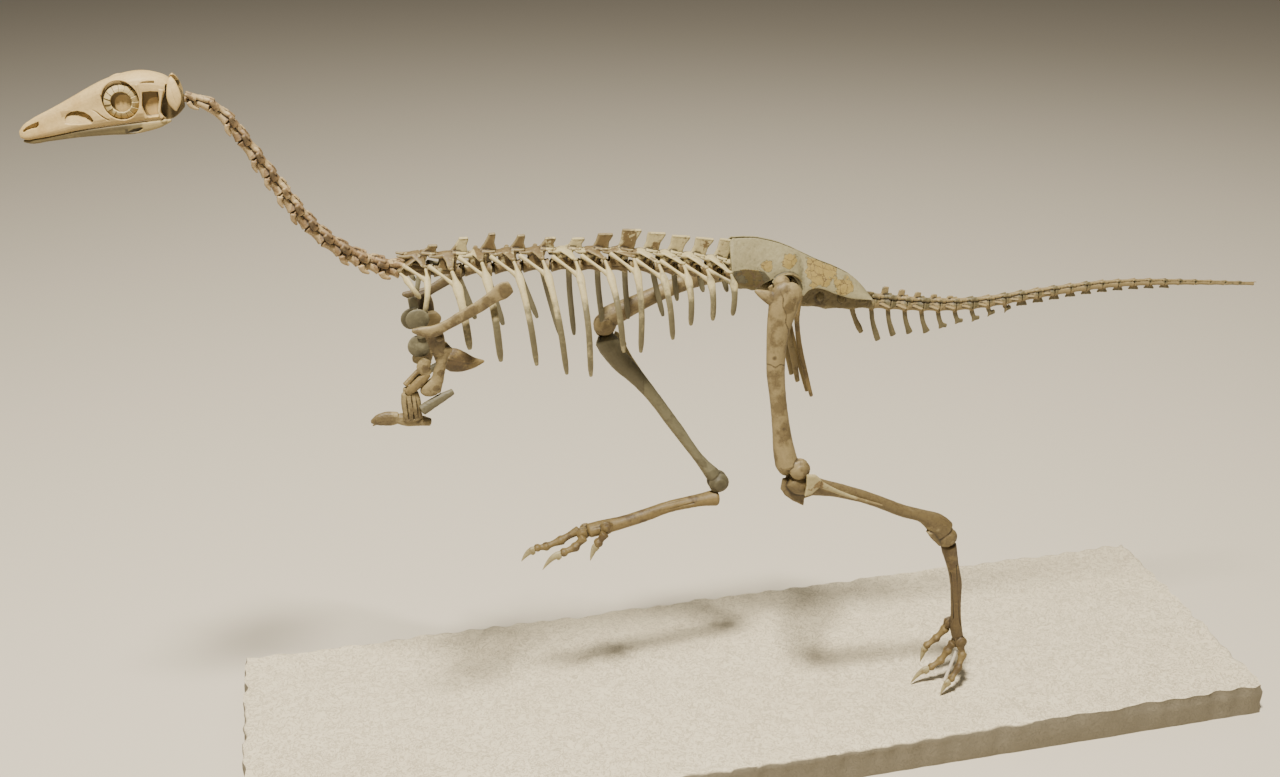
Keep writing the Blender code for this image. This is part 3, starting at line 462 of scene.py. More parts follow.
# %% The head's own place
SKULL_TIP, SKULL_PITCH = (-470.0, 527.8), math.radians(6.1)
ORBIT, ORBIT_RADII = (64.7, 16.9), (11.2, 12.3)
RING_CENTRE, RING_SIDE, RING_INNER, RING_OUTER, RING_PLATES = (64.9, 15.8), 10.0, 6.3, 10.6, 15
SKULL_SECTIONS = (
    # mm from the tip, underside, roof, half widths at the jaw, the cheek and the roof
    (-0.6, 1.6, 5.4, 1.6, 1.7, 1.1), (2.0, 0.2, 8.2, 2.8, 2.6, 1.6), (8.0, 0.0, 11.5, 3.8, 3.2, 2.0),
    (21.0, 0.6, 16.2, 5.6, 4.6, 2.8), (34.6, 1.8, 21.3, 7.4, 6.2, 3.9), (45.0, 2.0, 25.4, 8.9, 7.8, 5.4),
    (54.8, 2.1, 28.8, 10.4, 9.6, 8.0), (64.0, 2.2, 30.8, 11.8, 11.2, 9.8), (73.7, 2.2, 31.8, 12.6, 12.0, 10.8),
    (80.0, 2.0, 31.4, 13.0, 12.2, 10.8), (85.5, 1.4, 30.0, 12.8, 11.8, 10.2),
    (89.5, 0.4, 28.4, 10.0, 10.8, 9.4), (93.5, 0.7, 26.2, 7.5, 9.0, 7.6), (97.0, 2.4, 22.6, 6.0, 7.0, 5.2),
    (101.0, 5.4, 16.0, 3.0, 4.0, 2.6))


def on_head(piece):
    """Moves a piece from the head's own measure, along the jaw line, to its place."""
    c, s = math.cos(SKULL_PITCH), math.sin(SKULL_PITCH)
    x, y, z = piece[0].T
    return np.stack([SKULL_TIP[0] + c * x - s * z, y, SKULL_TIP[1] + s * x + c * z], axis=1), piece[1]


def from_tip(x, z):
    """How far points are along the jaw line from the snout's tip, and how far above it."""
    c, s = math.cos(SKULL_PITCH), math.sin(SKULL_PITCH)
    ahead, rise = x - SKULL_TIP[0], z - SKULL_TIP[1]
    return c * ahead + s * rise, c * rise - s * ahead


def head_skin():
    """The skull's outer skin, with every section rounded by the same curve."""
    rings = []
    sections = flow([(row[0], 0, 0) + row[1:] for row in SKULL_SECTIONS], 5)
    for x, _, _, low, top, jaw, cheek, roof in sections:
        tall = top - low
        half = flow([(0, 0, low), (0.8 * jaw, 0, low), (jaw, 0, low + 0.1 * tall), (cheek, 0, low + 0.5 * tall),
                     (roof, 0, top - 0.14 * tall), (0.45 * roof, 0, top - 0.02 * tall), (0, 0, top)], 4)
        rings.append([(x, y, z) for y, _, z in half] + [(x, -y, z) for y, _, z in half[-2:0:-1]])
    return skin(rings)


print("skull:", SKULL_SECTIONS[-1][0] - SKULL_SECTIONS[0][0], "mm long, from", len(SKULL_SECTIONS), "sections")

# %% [markdown]
# The openings are carved into the solid: nostril, snout window, eye socket, temple window, and
# the wide notch behind the temple. A cutter stops short of the middle, so that each hollow keeps
# a floor that catches light, and the snout window's floor tilts to a dark upper end.

# %% Openings of the skull
SNOUT_WINDOW = ((28, 7), (28.8, 10), (30.5, 12.2), (33.2, 13.5), (37.2, 13.6), (41.4, 12.3), (44.4, 9.9),
                (45.8, 6.6), (44, 5.2), (37, 5.4), (31, 6.2))
NOSTRIL = ((2.0, 4.5), (4.2, 5.6), (7.2, 6.2), (10.3, 6.2), (12.3, 7.9), (12.8, 10.1), (8.4, 9.0),
           (4.6, 7.6), (2.2, 6.0))
TEMPLE = ((78.7, 20.1), (83.6, 19.9), (88.2, 18.8), (87.6, 14), (86.2, 10), (85.2, 6.5), (85.6, 4),
          (79.8, 4.2), (76.8, 4.8), (76.7, 11.8))
EAR_NOTCH = ((91.8, 17.5), (89.4, 13.6), (87.9, 10), (87.0, 6.4), (87.5, 3.3), (88.8, 1.5), (89, -3),
             (110, -3), (110, 22), (93, 22))


def oval(centre, radii):
    """The outline of an oval opening."""
    return [(centre[0] + radii[0] * math.cos(a), centre[1] + radii[1] * math.sin(a))
            for a in np.radians(np.linspace(0, 360, 32))]


def pocket(outline, mouth, floor, tilt=0.0):
    """A cutter from `mouth` in to `floor`, deeper toward its upper end by `tilt`."""
    points = np.array(outline, float)
    middle = points.mean(axis=0)
    inner = middle + (points - middle) * 0.97
    return skin([[(x, mouth, z) for x, z in points],
                 [(x, floor + 0.3 - tilt * (z - middle[1]), z) for x, z in points],
                 [(x, floor - tilt * (z - middle[1]), z) for x, z in inner]])


def skull_openings():
    """The cutters for the right side: all pockets, and the groove of the tear duct."""
    tear_groove = shaft([(45.4, 8.2, 14.1, 0.3, 0.5), (48.5, 9.0, 11.8, 0.4, 0.6), (52, 9.9, 8.3, 0.5, 0.7),
                         (55.5, 10.9, 5.5, 0.4, 0.5)], 8)
    return [pocket(SNOUT_WINDOW, 16, 5.2, 0.45), pocket(NOSTRIL, 9, 1.0),
            pocket(oval(ORBIT, ORBIT_RADII), 20, 7.6), pocket(TEMPLE, 20, 7.8), pocket(EAR_NOTCH, 20, 5.2),
            tear_groove]


def painted_shade_in_openings(x, side, z):
    """Painted shade inside the openings and the notch behind them, with the lamp-lit parts of the temple and eye
    floors left pale.
    """
    along, up = from_tip(x, z)
    out = np.abs(side)
    temple = (out < 9.4) & (along > 76.4) & (along < 88.8) & (up > 3.8) & (up < 20.4)
    temple_floor = np.hypot(along - 84.6, up - 9.0) < 6.2
    notch = (out < 9.2) & (along > 86.9) & (up < 21)
    socket = (out < 8.5) & (np.hypot(along - ORBIT[0], up - ORBIT[1]) < 12.5)
    socket_floor = np.hypot(along - ORBIT[0] - 1.4, up - ORBIT[1] + 2.8) < 5.6
    snout = (out < 5.4) & (along > 27) & (along < 47) & (up > 11) & (up < 14.5)
    # painted shade: darkest in the notch, pale on the lit part of each floor
    return (0.5 + temple * np.where(temple_floor, 0.3, 1.25) + 1.9 * notch
            + socket * np.where(socket_floor, 0.1, 1.25) + 0.9 * snout)


print("openings on each side:", len(skull_openings()))

# %% [markdown]
# Slim bars and plates then go on: the brow over the eye, the bar behind the eye, the quadrate
# that carries the jaw, a low ridge over the temple, and a leaf-shaped plate with a groove that
# stands off the back of the skull.

# %% Skull
def ear_plate():
    leaf = shaft([(97.2, 5.5, 25.6, 0.6, 0.8), (97.0, 7.2, 24.2, 2.1, 1.0), (97.0, 8.6, 21.6, 3.1, 1.1),
                  (96.9, 10.2, 17.6, 4.1, 1.2), (96.7, 11.0, 13.6, 4.5, 1.2), (96.2, 11.2, 9.2, 3.3, 1.1),
                  (96.0, 11.0, 5.8, 0.9, 0.8)], 16)
    groove = shaft([(96.0, 10.4, 21.4, 0.3, 0.5), (96.4, 12.2, 15.5, 0.5, 0.5),
                    (97.3, 12.5, 9.0, 0.35, 0.4)], 8)
    return carve(leaf, [groove])


def skull():
    body = carve(head_skin(), both(skull_openings()))
    brow = shaft([(ORBIT[0] + (ORBIT_RADII[0] + 0.5) * math.cos(a), 10.4 + 0.4 * math.cos(a) - 0.9 * math.sin(a),
                   ORBIT[1] + (ORBIT_RADII[1] + 0.3) * math.sin(a), 0.7, 0.9)
                  for a in np.radians(range(12, 172, 16))], 8, steps=3)
    post = shaft([(76.4, 11.3, 25, 0.8, 1.2), (76.4, 11.9, 17, 0.5, 1.0), (76.6, 12.1, 10, 0.5, 1.0),
                  (77.5, 12.3, 4.2, 1.1, 1.0)], 10)
    quadrate = shaft([(90.2, 10.8, 19.5, 1.7, 1.1), (88.5, 11.6, 13.8, 0.8, 1.1), (87.1, 12.1, 9.6, 0.8, 1.2),
                      (86.2, 12.3, 5.8, 0.9, 1.3), (86.8, 12.3, 3.0, 1.5, 1.5)], 10)
    ridge = shaft([(78, 11.2, 25.1, 0.4, 0.5), (79.5, 11.3, 26.4, 0.6, 0.7), (82.5, 11.2, 26.7, 0.7, 0.7),
                   (87, 10.6, 26, 0.5, 0.6)], 8)
    braincase = shaft([(84, 0, 12, 8, 6), (92, 0, 11.5, 7, 5.2), (97, 0, 12, 5, 4.4), (101, 0, 12, 2.6, 3)], 16)
    pieces = [body, braincase] + both([brow, post, quadrate, ridge, ear_plate()])
    bone("skull", [on_head(p) for p in pieces], SKULL_RESIN, voxel=0.26, soften=2, pitted=0.03, grain=6,
         stain_and_shade=painted_shade_in_openings)


skull()

# %% [markdown]
# The lower jaw is two thin boards that meet at the chin, each with a shallow slot pressed into it
# behind the tooth row. The eye ring is a crown of small overlapping plates that stiffened the
# eyeball, and each plate is laid a little askew, so that its edge shows.

# %% Lower jaw and eye rings
def lower_jaw():
    board = shaft([(0.8, 0.6, -1.0, 0.7, 0.8), (4, 1.2, -1.6, 1.3, 1.0), (16, 3.0, -1.5, 1.5, 1.0),
                   (34.8, 5.5, -0.9, 2.1, 1.0), (53.2, 8.5, -1.1, 2.7, 1.1), (68.4, 10.6, -1.7, 3.3, 1.2),
                   (77.8, 11.4, -1.4, 2.9, 1.3), (84.2, 11.6, -1.0, 2.3, 1.3), (91.6, 11.5, 0.2, 0.9, 1.0)],
                  12, box=0.8)
    slot = prism([(63.4, -3.4), (68, -1.7), (73.2, -1.2), (74.2, -2.0), (71, -3.7), (66.5, -4.1)], 10.9, 20)
    joint = blob((87.5, 11.8, 0.4), (2.6, 1.6, 1.4))

    # painted shade: darker toward the upper edge under the skull's overhang and inside the slot, paler at the lit
    # rear
    def stain_and_shade(x, side, z):
        along, up = from_tip(x, z)
        slot_shade = (along > 63) & (along < 74.5) & (up < -1.2) & (up > -4.1) & (np.abs(side) < 11.3)
        return 1.1 + 0.6 * ramp(up, -2.4, -0.4) - 1.3 * ramp(along, 64, 76) + 1.3 * slot_shade

    bone("mandible", [on_head(p) for p in both([carve(board, [slot]), joint])], JAW_RESIN, voxel=0.28, soften=2,
         pitted=0.03, stain_and_shade=stain_and_shade)


def eye_ring(side, sign):
    profile = [(RING_INNER, -0.6), (RING_INNER - 0.1, 0.4), (RING_INNER + 0.4, 0.95), (8.2, 0.45), (9.7, -0.55),
               (RING_OUTER, -1.2), (RING_OUTER - 0.2, -1.8)]
    pieces = []
    for k in range(RING_PLATES):
        rings = []
        for turn, lift in ((-0.6, -0.45), (-0.2, -0.1), (0.2, 0.2), (0.6, 0.55)):
            a = (k + turn) * 2 * math.pi / RING_PLATES
            rings.append([(RING_CENTRE[0] + r * math.cos(a), RING_SIDE + lift + out,
                           RING_CENTRE[1] + r * math.sin(a)) for r, out in profile])
        points, faces = skin(rings)
        pieces.append(on_head((points * (1, sign, 1), faces)))
    bone(f"eye_ring_{side}", pieces, RING_RESIN, voxel=0.18, soften=1, pitted=0)


lower_jaw()
for side, sign in SIDES.items():
    eye_ring(side, sign)

# %% [markdown]
# ## The backbone
# A vertebra is a spool with a roof over it. It is laid out in its own small frame: `along` runs
# from its front joint to its rear joint as a share of its length, `side` goes outward and `up`
# goes toward the back. The joints themselves lie on one smooth line from skull to tail.

# %% Joints along a line
NECK_LINE = ((-368, 548), (-354, 542), (-344, 531), (-337, 518), (-329, 505), (-317, 484),
             (-304, 463), (-291, 448), (-274, 435), (-258, 427), (-242, 422.5))
BACK_LINE = ((-242, 423.5), (-199, 420.5), (-158, 420), (-118, 417.7), (-81, 414), (-45, 409),
             (-12, 402), (4, 397))
SACRUM_LINE = ((4, 396), (25, 391), (44, 381), (62, 375.5), (85, 372), (110, 370))
TAIL_LINE = ((110, 370), (153, 363.5), (185, 361), (211, 361.5), (240, 364), (268, 366), (300, 367.5),
             (335, 367), (370, 364.5), (408, 361), (443, 357.5))
NECK_COUNT, BACK_COUNT, SACRUM_COUNT, TAIL_COUNT = 13, 13, 6, 24


def joints_along(line, count, taper=0.0):
    """count + 1 joints at even steps along a smooth line; taper makes the first steps longer."""
    fine = flow([(x, 0, z) for x, z in line], 20)
    reach = np.concatenate([[0], np.cumsum(np.linalg.norm(np.diff(fine, axis=0), axis=1))])
    share = np.linspace(0, 1, count + 1)
    want = reach[-1] * (share + taper * share * (1 - share))
    return np.stack([np.interp(want, reach, fine[:, k]) for k in range(3)], axis=1)


def seats_along(line, count, taper=0.0):
    """The frame of each vertebra: its front joint, its axis, the way up, and its length."""
    joints = joints_along(line, count, taper)
    seats = []
    for a, b in zip(joints, joints[1:]):
        length = np.linalg.norm(b - a)
        axis = (b - a) / length
        seats.append((a, axis, np.array([-axis[2], 0, axis[0]]), length))
    return seats


for name, line, count in (("neck", NECK_LINE, NECK_COUNT), ("back", BACK_LINE, BACK_COUNT),
                          ("tail", TAIL_LINE, TAIL_COUNT)):
    print(f"{name}: {count} bones in {sum(at[3] for at in seats_along(line, count)):.0f} mm")

# %% Parts of a vertebra
def put(at, rows, size=1.0):
    """Rows of (along, side, up, deep, wide) in a vertebra's frame, as rows in mm. `size` scales
    all of them but `along`."""
    origin, axis, rise, length = at
    return [(*(origin + axis * (along * length) + rise * (up * size) + (0, side * size, 0)), deep * size,
             wide * size) for along, side, up, deep, wide in rows]


def part(at, rows, sides=10, size=1.0, **shape):
    """A shaft drawn in a vertebra's frame."""
    return shaft(put(at, rows, size), sides, **shape)


def spine_plate(at, edge, thick, size=1.0):
    """A thin upright plate in the mid-plane: `edge` lists its (along, up) corners."""
    origin, axis, rise, length = at
    points = [origin + axis * (along * length) + rise * (up * size) for along, up in edge]
    return thick_plate(np.array(points), thick * size, 0.8, 0.55)


first = put(seats_along(NECK_LINE, NECK_COUNT)[0], [(0.5, 0, 0, 3, 3)])[0]
print("middle of the first neck bone:", [round(float(v)) for v in first[:3]])

# %% [markdown]
# Neck bones are long and low. Each reaches forward and back with small arms that lock over its
# neighbours, and on most of them a thin rib points back from under the front end; on the others
# it has broken off. A slimmer core joins the spools, so the joints show as dark grooves. All
# measures of a neck bone are shares of one size, so one recipe serves the whole neck.

# %% Neck
NECK_SIZES = [3.5 + 0.13 * i for i in range(NECK_COUNT)]     # half thickness of each spool
RIB_CHANCE = 0.6


def neck_bone(at, size, rng):
    jut = rng.uniform(0.92, 1.1)
    body = part(at, [(0.06, 0, 0, 0.98, 0.98), (0.2, 0, 0, 0.84, 0.84), (0.5, 0, 0, 0.72, 0.72),
                     (0.8, 0, 0, 0.84, 0.86), (0.94, 0, 0, 1.0, 1.02)], 16, size, dome=0.15)
    core = part(at, [(-0.14, 0, 0, 0.6, 0.6), (0.14, 0, 0, 0.6, 0.6)], 10, size)
    roof = part(at, [(0.12, 0, 0.85, 0.55, 0.95), (0.5, 0, 0.95, 0.5, 0.75), (0.88, 0, 1.0, 0.55, 0.95)],
                12, size, box=0.8)
    crest = spine_plate(at, [(0.26, 1.1), (0.42, 1.6 * jut), (0.7, 1.75 * jut), (0.84, 1.3)], 0.22, size)
    front_arm = part(at, [(0.3, 0.7, 0.7, 0.5, 0.42), (0.02, 1.0, 0.8, 0.45, 0.38),
                          (-0.15, 1.1, 0.95 * jut, 0.34, 0.32)], 10, size)
    rear_arm = part(at, [(0.65, 0.6, 1.1, 0.45, 0.36), (0.9, 0.9, 1.25, 0.4, 0.36),
                         (1.08, 0.95, 1.35 * jut, 0.28, 0.36)], 10, size)
    rib = part(at, [(0.08, 0.95, -0.3, 0.5, 0.35), (0.22, 0.95, -0.75, 0.42, 0.3),
                    (0.55, 0.9, -0.95, 0.2, 0.2)], 10, size)
    return [body, core, roof, crest] + both([front_arm, rear_arm] + [rib] * (rng.random() < RIB_CHANCE))


def dark_joints(seats, sizes, seed):
    """Circles over the joints of a row of vertebrae, where dark wash has settled."""
    rng = random.Random(seed)
    return [(*(at[0] + at[2] * 0.8 * size)[[0, 2]], rng.uniform(0.7, 1.6) * size)
            for at, size in zip(seats, sizes)]


def neck():
    rng = random.Random(3)
    seats = seats_along(NECK_LINE, NECK_COUNT)
    spots = dark_joints(seats, NECK_SIZES, 5)
    middle = NECK_COUNT // 2
    for name, first, last in (("neck_upper", 0, middle), ("neck_lower", middle, NECK_COUNT)):
        pieces = [piece for i in range(first, last) for piece in neck_bone(seats[i], NECK_SIZES[i], rng)]
        bone(name, pieces, PINK, voxel=0.32, soften=2, pitted=0.14, grain=2.0,
             stain_and_shade=lambda x, side, z: 0.5 - 0.45 * ramp(x, -342, -348) + 1.5 * around(x, z, *spots))


neck()

# %% [markdown]
# Back bones carry the ribs. They are taller than neck bones, with an upright plate, the spine,
# on top; its height and length differ from bone to bone. The heights are measured from the line
# of joints, in millimetres, and the lengths are shares of the bone's own length.

# %% Back bones
SPINE_HEIGHTS = (18.5, 23.5, 25.0, 23.0, 20.5, 20.0, 24.0, 27.5, 26.0, 25.0, 26.0, 27.5, 27.0)
SPINE_LENGTHS = (0.34, 0.34, 0.26, 0.3, 0.42, 0.5, 0.6, 0.78, 0.76, 0.8, 0.82, 0.82, 0.82)
FRONT_KEELS = (-9, -7.5, -6)                # how low the keels under the first bones reach


def back_bone(at, i, rng):
    jut = rng.uniform(-0.5, 0.5)
    body = part(at, [(0.06, 0, 0, 5.1, 5.0), (0.2, 0, 0.2, 4.4, 4.2), (0.5, 0, 0.5, 3.6, 3.3),
                     (0.8, 0, 0.2, 4.4, 4.2), (0.94, 0, 0, 5.2, 5.0)], 18, dome=0.12)
    core = part(at, [(-0.1, 0, 0, 3.4, 3.4), (0.1, 0, 0, 3.4, 3.4)], 12)
    wall = part(at, [(0.5, 2.9, 1.5, 0.34 * at[3], 1.2), (0.5, 2.9, 6.0, 0.29 * at[3], 1.0),
                     (0.5, 3.2, 11.0, 0.33 * at[3], 1.4)], 14)
    roof = part(at, [(0.14, 0, 11.0, 1.4, 3.2), (0.4, 0, 11.8, 1.9, 3.8),
                     (0.9, 0, 12.4, 1.5, 2.6)], 14, box=0.85)
    front_lock = part(at, [(0.34, 3.0, 10.8, 2.0, 1.6), (0.06, 3.9, 10.9, 1.2, 1.4),
                           (-0.12, 4.2, 11.4, 0.8, 1.1)])
    rear_lock = part(at, [(0.66, 2.4, 12.6, 1.8, 1.5), (0.92, 3.2, 12.8, 1.1, 1.4),
                          (1.08, 3.5, 13.2, 0.7, 1.1)])
    half, high = SPINE_LENGTHS[i] / 2, SPINE_HEIGHTS[i] + jut
    waist = 11.5 + 0.5 * (high - 11.5)
    spine = spine_plate(at, [(0.46, 11.0), (0.80 - 0.5 * half, waist), (1.0 - half, high - 2.0),
                             (1.06 - half, high), (0.96 + half, high + 0.3), (1.0 + half, high - 1.6),
                             (1.02 + 0.5 * half, waist), (1.16, 12.5)], 1.15)
    top = part(at, [(1.04 - half, 0, high - 0.9, 0.9, 1.4), (0.97 + half, 0, high - 0.7, 0.9, 1.5)])
    pieces = [body, core, roof, spine, top] + both([wall, front_lock, rear_lock])
    if i < len(FRONT_KEELS):
        pieces.append(part(at, [(0.85, 0, -3, 2.6, 1.2), (0.92, 0, FRONT_KEELS[i], 1.6, 1.0)]))
    return pieces


print("back spines rise", min(SPINE_HEIGHTS), "to", max(SPINE_HEIGHTS), "mm above the joints")

# %% [markdown]
# Each rib has two heads: one hangs from the tip of the side arm, and the other reaches forward
# and in to the next spool, and the open triangles between them are what makes a rib cage look
# light. A rib is a curve from its upper joint to its tip, widest just below the fork.

# %% Side arms and ribs
ARM_SIDE = 16.0          # how far out the side arms of the back end
RIBS = (
    # x and z of the upper joint; x, distance from the mid-plane and z of the left tip; x and z of
    # the right tip
    (-242.5, 424.0, -231.0, 20, 409.0, -231.0, 409.0), (-225.6, 426.9, -229.8, 27, 397.0, -229.8, 397.0),
    (-207.9, 424.8, -200.2, 33, 373.8, -188.0, 371.6), (-187.1, 429.6, -179.6, 37, 364.4, -167.0, 363.5),
    (-164.9, 428.6, -154.8, 39, 359.8, -141.0, 366.0), (-144.6, 427.8, -133.8, 40, 351.4, -123.8, 349.7),
    (-121.2, 425.2, -116.6, 40, 348.1, -113.0, 349.5), (-100.5, 424.4, -92.0, 37, 362.9, -91.2, 353.5),
    (-79.6, 424.2, -78.6, 33, 360.0, -72.6, 361.4), (-61.3, 418.3, -54.5, 31, 367.0, -46.0, 362.0),
    (-42.9, 416.1, -40.7, 29, 375.8, -35.5, 374.1), (-25.7, 411.8, -23.1, 25, 376.6, -16.4, 381.0),
    (-7.6, 406.6, -7.2, 22, 377.9, 1.5, 380.6))
FRONT_RIBS = (0.8, 0.85, 1.2, 1.15)     # the first ribs' widths, against 1 for the others


def arm_side(i):
    """How far out the rib's upper joint sits; the first ribs hang closer in."""
    return min(ARM_SIDE, 9.0 + 3.5 * i)


def side_arm(at, place):
    """The arm of a vertebra that reaches out to a rib's upper joint, and the strut below it."""
    start, under = (np.array(row[:3]) for row in put(at, [(0.5, 1.8, 12.2, 0, 0), (0.66, 3.0, 5.0, 0, 0)]))
    middle = 0.5 * (start + place) + (0, 0, 0.6)
    arm = shaft([(*start, 5.0, 1.6), (*middle, 2.9, 1.0), (*(place + (-0.5, -1.5, 1.6)), 1.8, 1.1),
                 (*(place + (0, 0, 1.9)), 1.6, 1.3)], 14, across=(0, 0, 1))
    strut = shaft([(*under, 1.2, 1.2), (*(0.4 * under + 0.6 * middle), 0.8, 0.8),
                   (*(middle + (0, 2, -0.8)), 1.0, 1.0)], 8)
    return both([arm, strut])


def rib(i, right):
    """One rib, drawn for the right side: the blade with its hook, and the neck to the next spool."""
    joint_x, joint_z, tip_x, tip_side, tip_z, far_x, far_z = RIBS[i]
    if right:
        tip_x, tip_z = far_x, far_z
    drop, start = joint_z - tip_z, arm_side(i)
    fork = min(8.5 / drop, 0.2)

    def place(t):
        x = joint_x + (tip_x - joint_x) * t + 1.2 * math.sin(math.pi * t ** 0.6)
        side = start + (tip_side + 1 - start) * math.sin(min(1, 1.45 * t) * math.pi / 2) - 1.5 * t ** 3
        return np.array([x, side, joint_z - drop * t])

    slim = FRONT_RIBS[i] if i < len(FRONT_RIBS) else 1.0
    widths = ((0.0, 1.2), (0.5 * fork, 1.5), (fork, 2.9), (1.9 * fork, 2.5), (0.55, 2.25), (0.8, 2.2),
              (0.94, 1.9), (1.0, 1.3))
    blade = shaft([(*place(t), wide * slim, 1.35 if t < 0.9 else 1.1) for t, wide in widths], 14, steps=6,
                  dome=0.7)
    if i == 0:
        return [blade]
    root = np.array([joint_x - 14.5, 5.2, joint_z + 1.5])
    tip = place(1.1 * fork)
    bend = 0.5 * (root + tip) + (0, 0.6, 0.6)
    return [blade, shaft([(*root, 1.9, 1.5), (*bend, 1.2, 1.05), (*tip, 2.2, 1.2)], 12, steps=6)]


# %% [markdown]
# The back bones are one piece and the ribs of each side another, as they are cast. The front and
# some middle bones were moulded from brown fossil bone, and the ribs are painted darker toward
# their tips as painted shade.

# %% Rib cage
def rib_cage():
    rng = random.Random(11)
    seats = seats_along(BACK_LINE, BACK_COUNT, 0.16)
    bones = [piece for i, at in enumerate(seats) for piece in back_bone(at, i, rng)]
    for i, (x, z) in enumerate(row[:2] for row in RIBS):
        bones += side_arm(seats[max(i - 1, 0)], np.array([x, arm_side(i), z]))
    line_x, line_z = zip(*BACK_LINE)

    def stain_and_shade(x, side, z):
        up = z - np.interp(x, line_x, line_z)
        arches = np.where(x < -203, 1.0, np.where((x > -190) & (x < -140), 0.95, 0.4))
        arches = arches + 0.45 * ((x > -112) & (x < -74) & (up > 9))
        return np.where(up < 7, 1.15 - 0.05 * up, arches)

    bone("back_bones", bones, BACK, node=["ribcage_left", "ribcage_right"], voxel=0.4, soften=2, pitted=0.12,
         grain=2.6, stain_and_shade=stain_and_shade)
    # painted shade: the ribs darken toward their tips, where they face down
    for side, sign in SIDES.items():
        pieces = [piece for i in range(BACK_COUNT) for piece in rib(i, sign > 0)]
        bone(f"ribs_{side}", pieces if sign > 0 else [flip(p) for p in pieces], OLIVE_SHADE if sign > 0 else RIB,
             node=[f"ribcage_{side}"], voxel=0.36, soften=2, pitted=0.06, grain=5,
             stain_and_shade=lambda x, side, z: np.minimum(1.1, 1.8 - 2.0 * ramp(z, 370, 422)))


rib_cage()

# %% [markdown]
# ## The hips
# Six fused vertebrae carry the hips. The blade of the ilium is a long plate outside them, with a
# raised brim over the hip socket. Below it two pairs of slim rods, pubis and ischium, slant back.

# %% Sacrum, ilium, pubis and ischium
HIP = (31.0, 22.0, 394.0)
SOCKET = (35.9, 390.5)
ILIUM_ROWS = (
    # x, lower edge and upper edge of the hip blade
    (-5.6, 401, 426), (-4.2, 398.2, 428.6), (0, 396, 429.4), (4.3, 394.6, 429.4), (12, 392.3, 428.8),
    (17.2, 396, 428), (23.3, 398.8, 426.4), (29, 401.8, 424.7), (35.5, 402.9, 422.2), (41, 400, 419.7),
    (45.5, 394, 417.5), (48.5, 385, 415.8), (53.1, 388.2, 413.4), (58.5, 390, 410.5), (64, 388.9, 407.6),
    (74.5, 384.1, 402.9), (82.6, 381.1, 398.8), (90.6, 378.8, 394), (97, 377.8, 388.5),
    (102, 377.2, 382.8), (105, 377, 379))


def sacrum():
    pieces = []
    for i, at in enumerate(seats_along(SACRUM_LINE, SACRUM_COUNT)):
        size, crest = 6.2 - 0.22 * i, 25.5 - 2.9 * i
        pieces.append(part(at, [(0.0, 0, 0, size, size), (0.5, 0, 0.2, 0.86 * size, 0.84 * size),
                                (1.0, 0, 0, size, size)], 16))
        pieces.append(spine_plate(at, [(-0.05, 2), (-0.05, crest), (1.05, crest - 2.9), (1.05, 2)], 1.3))
        pieces += both([part(at, [(0.45, 2.0, 4.0, 3.2, 2.4), (0.45, 6.0, 4.8, 2.0, 2.0),
                                  (0.45, 8.6, 5.4, 3.0, 3.4)], 12, across=(0, 0, 1), dome=0.1)])
    pieces.append(shaft([(93.5, 0, 368, 2.2, 2.0), (97, 0, 358, 2.0, 1.3), (101, 0, 350, 2.4, 1.2),
                         (103, 0, 346.5, 2.0, 1.1)], 12))
    web = prism([(42, 397), (52, 394), (64, 396), (80, 391), (100, 382), (107, 376), (104, 369),
                 (85, 369.5), (62, 373), (47, 379)], 3.5, 7.6)
    bone("sacrum", pieces + both([web]), UMBER, voxel=0.45, pitted=0.3, stain_and_shade=0.3)


def ilium(side, sign):
    """The hip blade leans in toward its upper edge; a brim stands out over the socket."""
    rings = []
    for x, low, high in flow([(x, 0, 0, low, high) for x, low, high in ILIUM_ROWS], 3)[:, [0, 3, 4]]:
        share = np.linspace(0, 1, 12)
        lean = 13.6 - 10.2 * share ** 1.6
        thick = 0.5 + 2.3 * np.sin(np.pi * np.clip(0.08 + 0.84 * share, 0, 1)) ** 0.6
        height = low + (high - low) * share
        rings.append([(x, -y, z) for y, z in zip(lean, height)]
                     + [(x, -(y - t), z) for y, t, z in zip(lean[::-1], thick[::-1], height[::-1])])
    brim = shaft([(SOCKET[0] + 12.6 * math.cos(a), -14.4, SOCKET[1] + 12.8 * math.sin(a), 1.0, 1.9)
                  for a in np.radians((148, 125, 100, 75, 50, 30))], 12)
    pieces = [skin(rings), brim]

    def stain_and_shade(x, side, z):
        # painted shade on the front lower lobe, which faces down, and under the brim over the socket; the spots
        # are tan patches
        lobe_shade = (x < 23) & (z < np.interp(x, (-6, 4, 19, 23), (407.7, 408.5, 405.7, 401)))
        spots = around(x, z, (18, 408, 13), (39, 412, 12), (60, 402, 20), (72, 397, 20), (82, 390, 15))
        shade = (np.hypot(x - SOCKET[0], z - SOCKET[1]) < 15) & (side * sign > 14.2)
        return np.where(lobe_shade, 1.9, np.where(shade, 1.55, 1.1 * spots))

    bone(f"ilium_{side}", [one_side(p, sign) for p in pieces], HIP_RESIN, voxel=0.4, soften=2, pitted=0.2,
         grain=4.5, stain_and_shade=stain_and_shade)


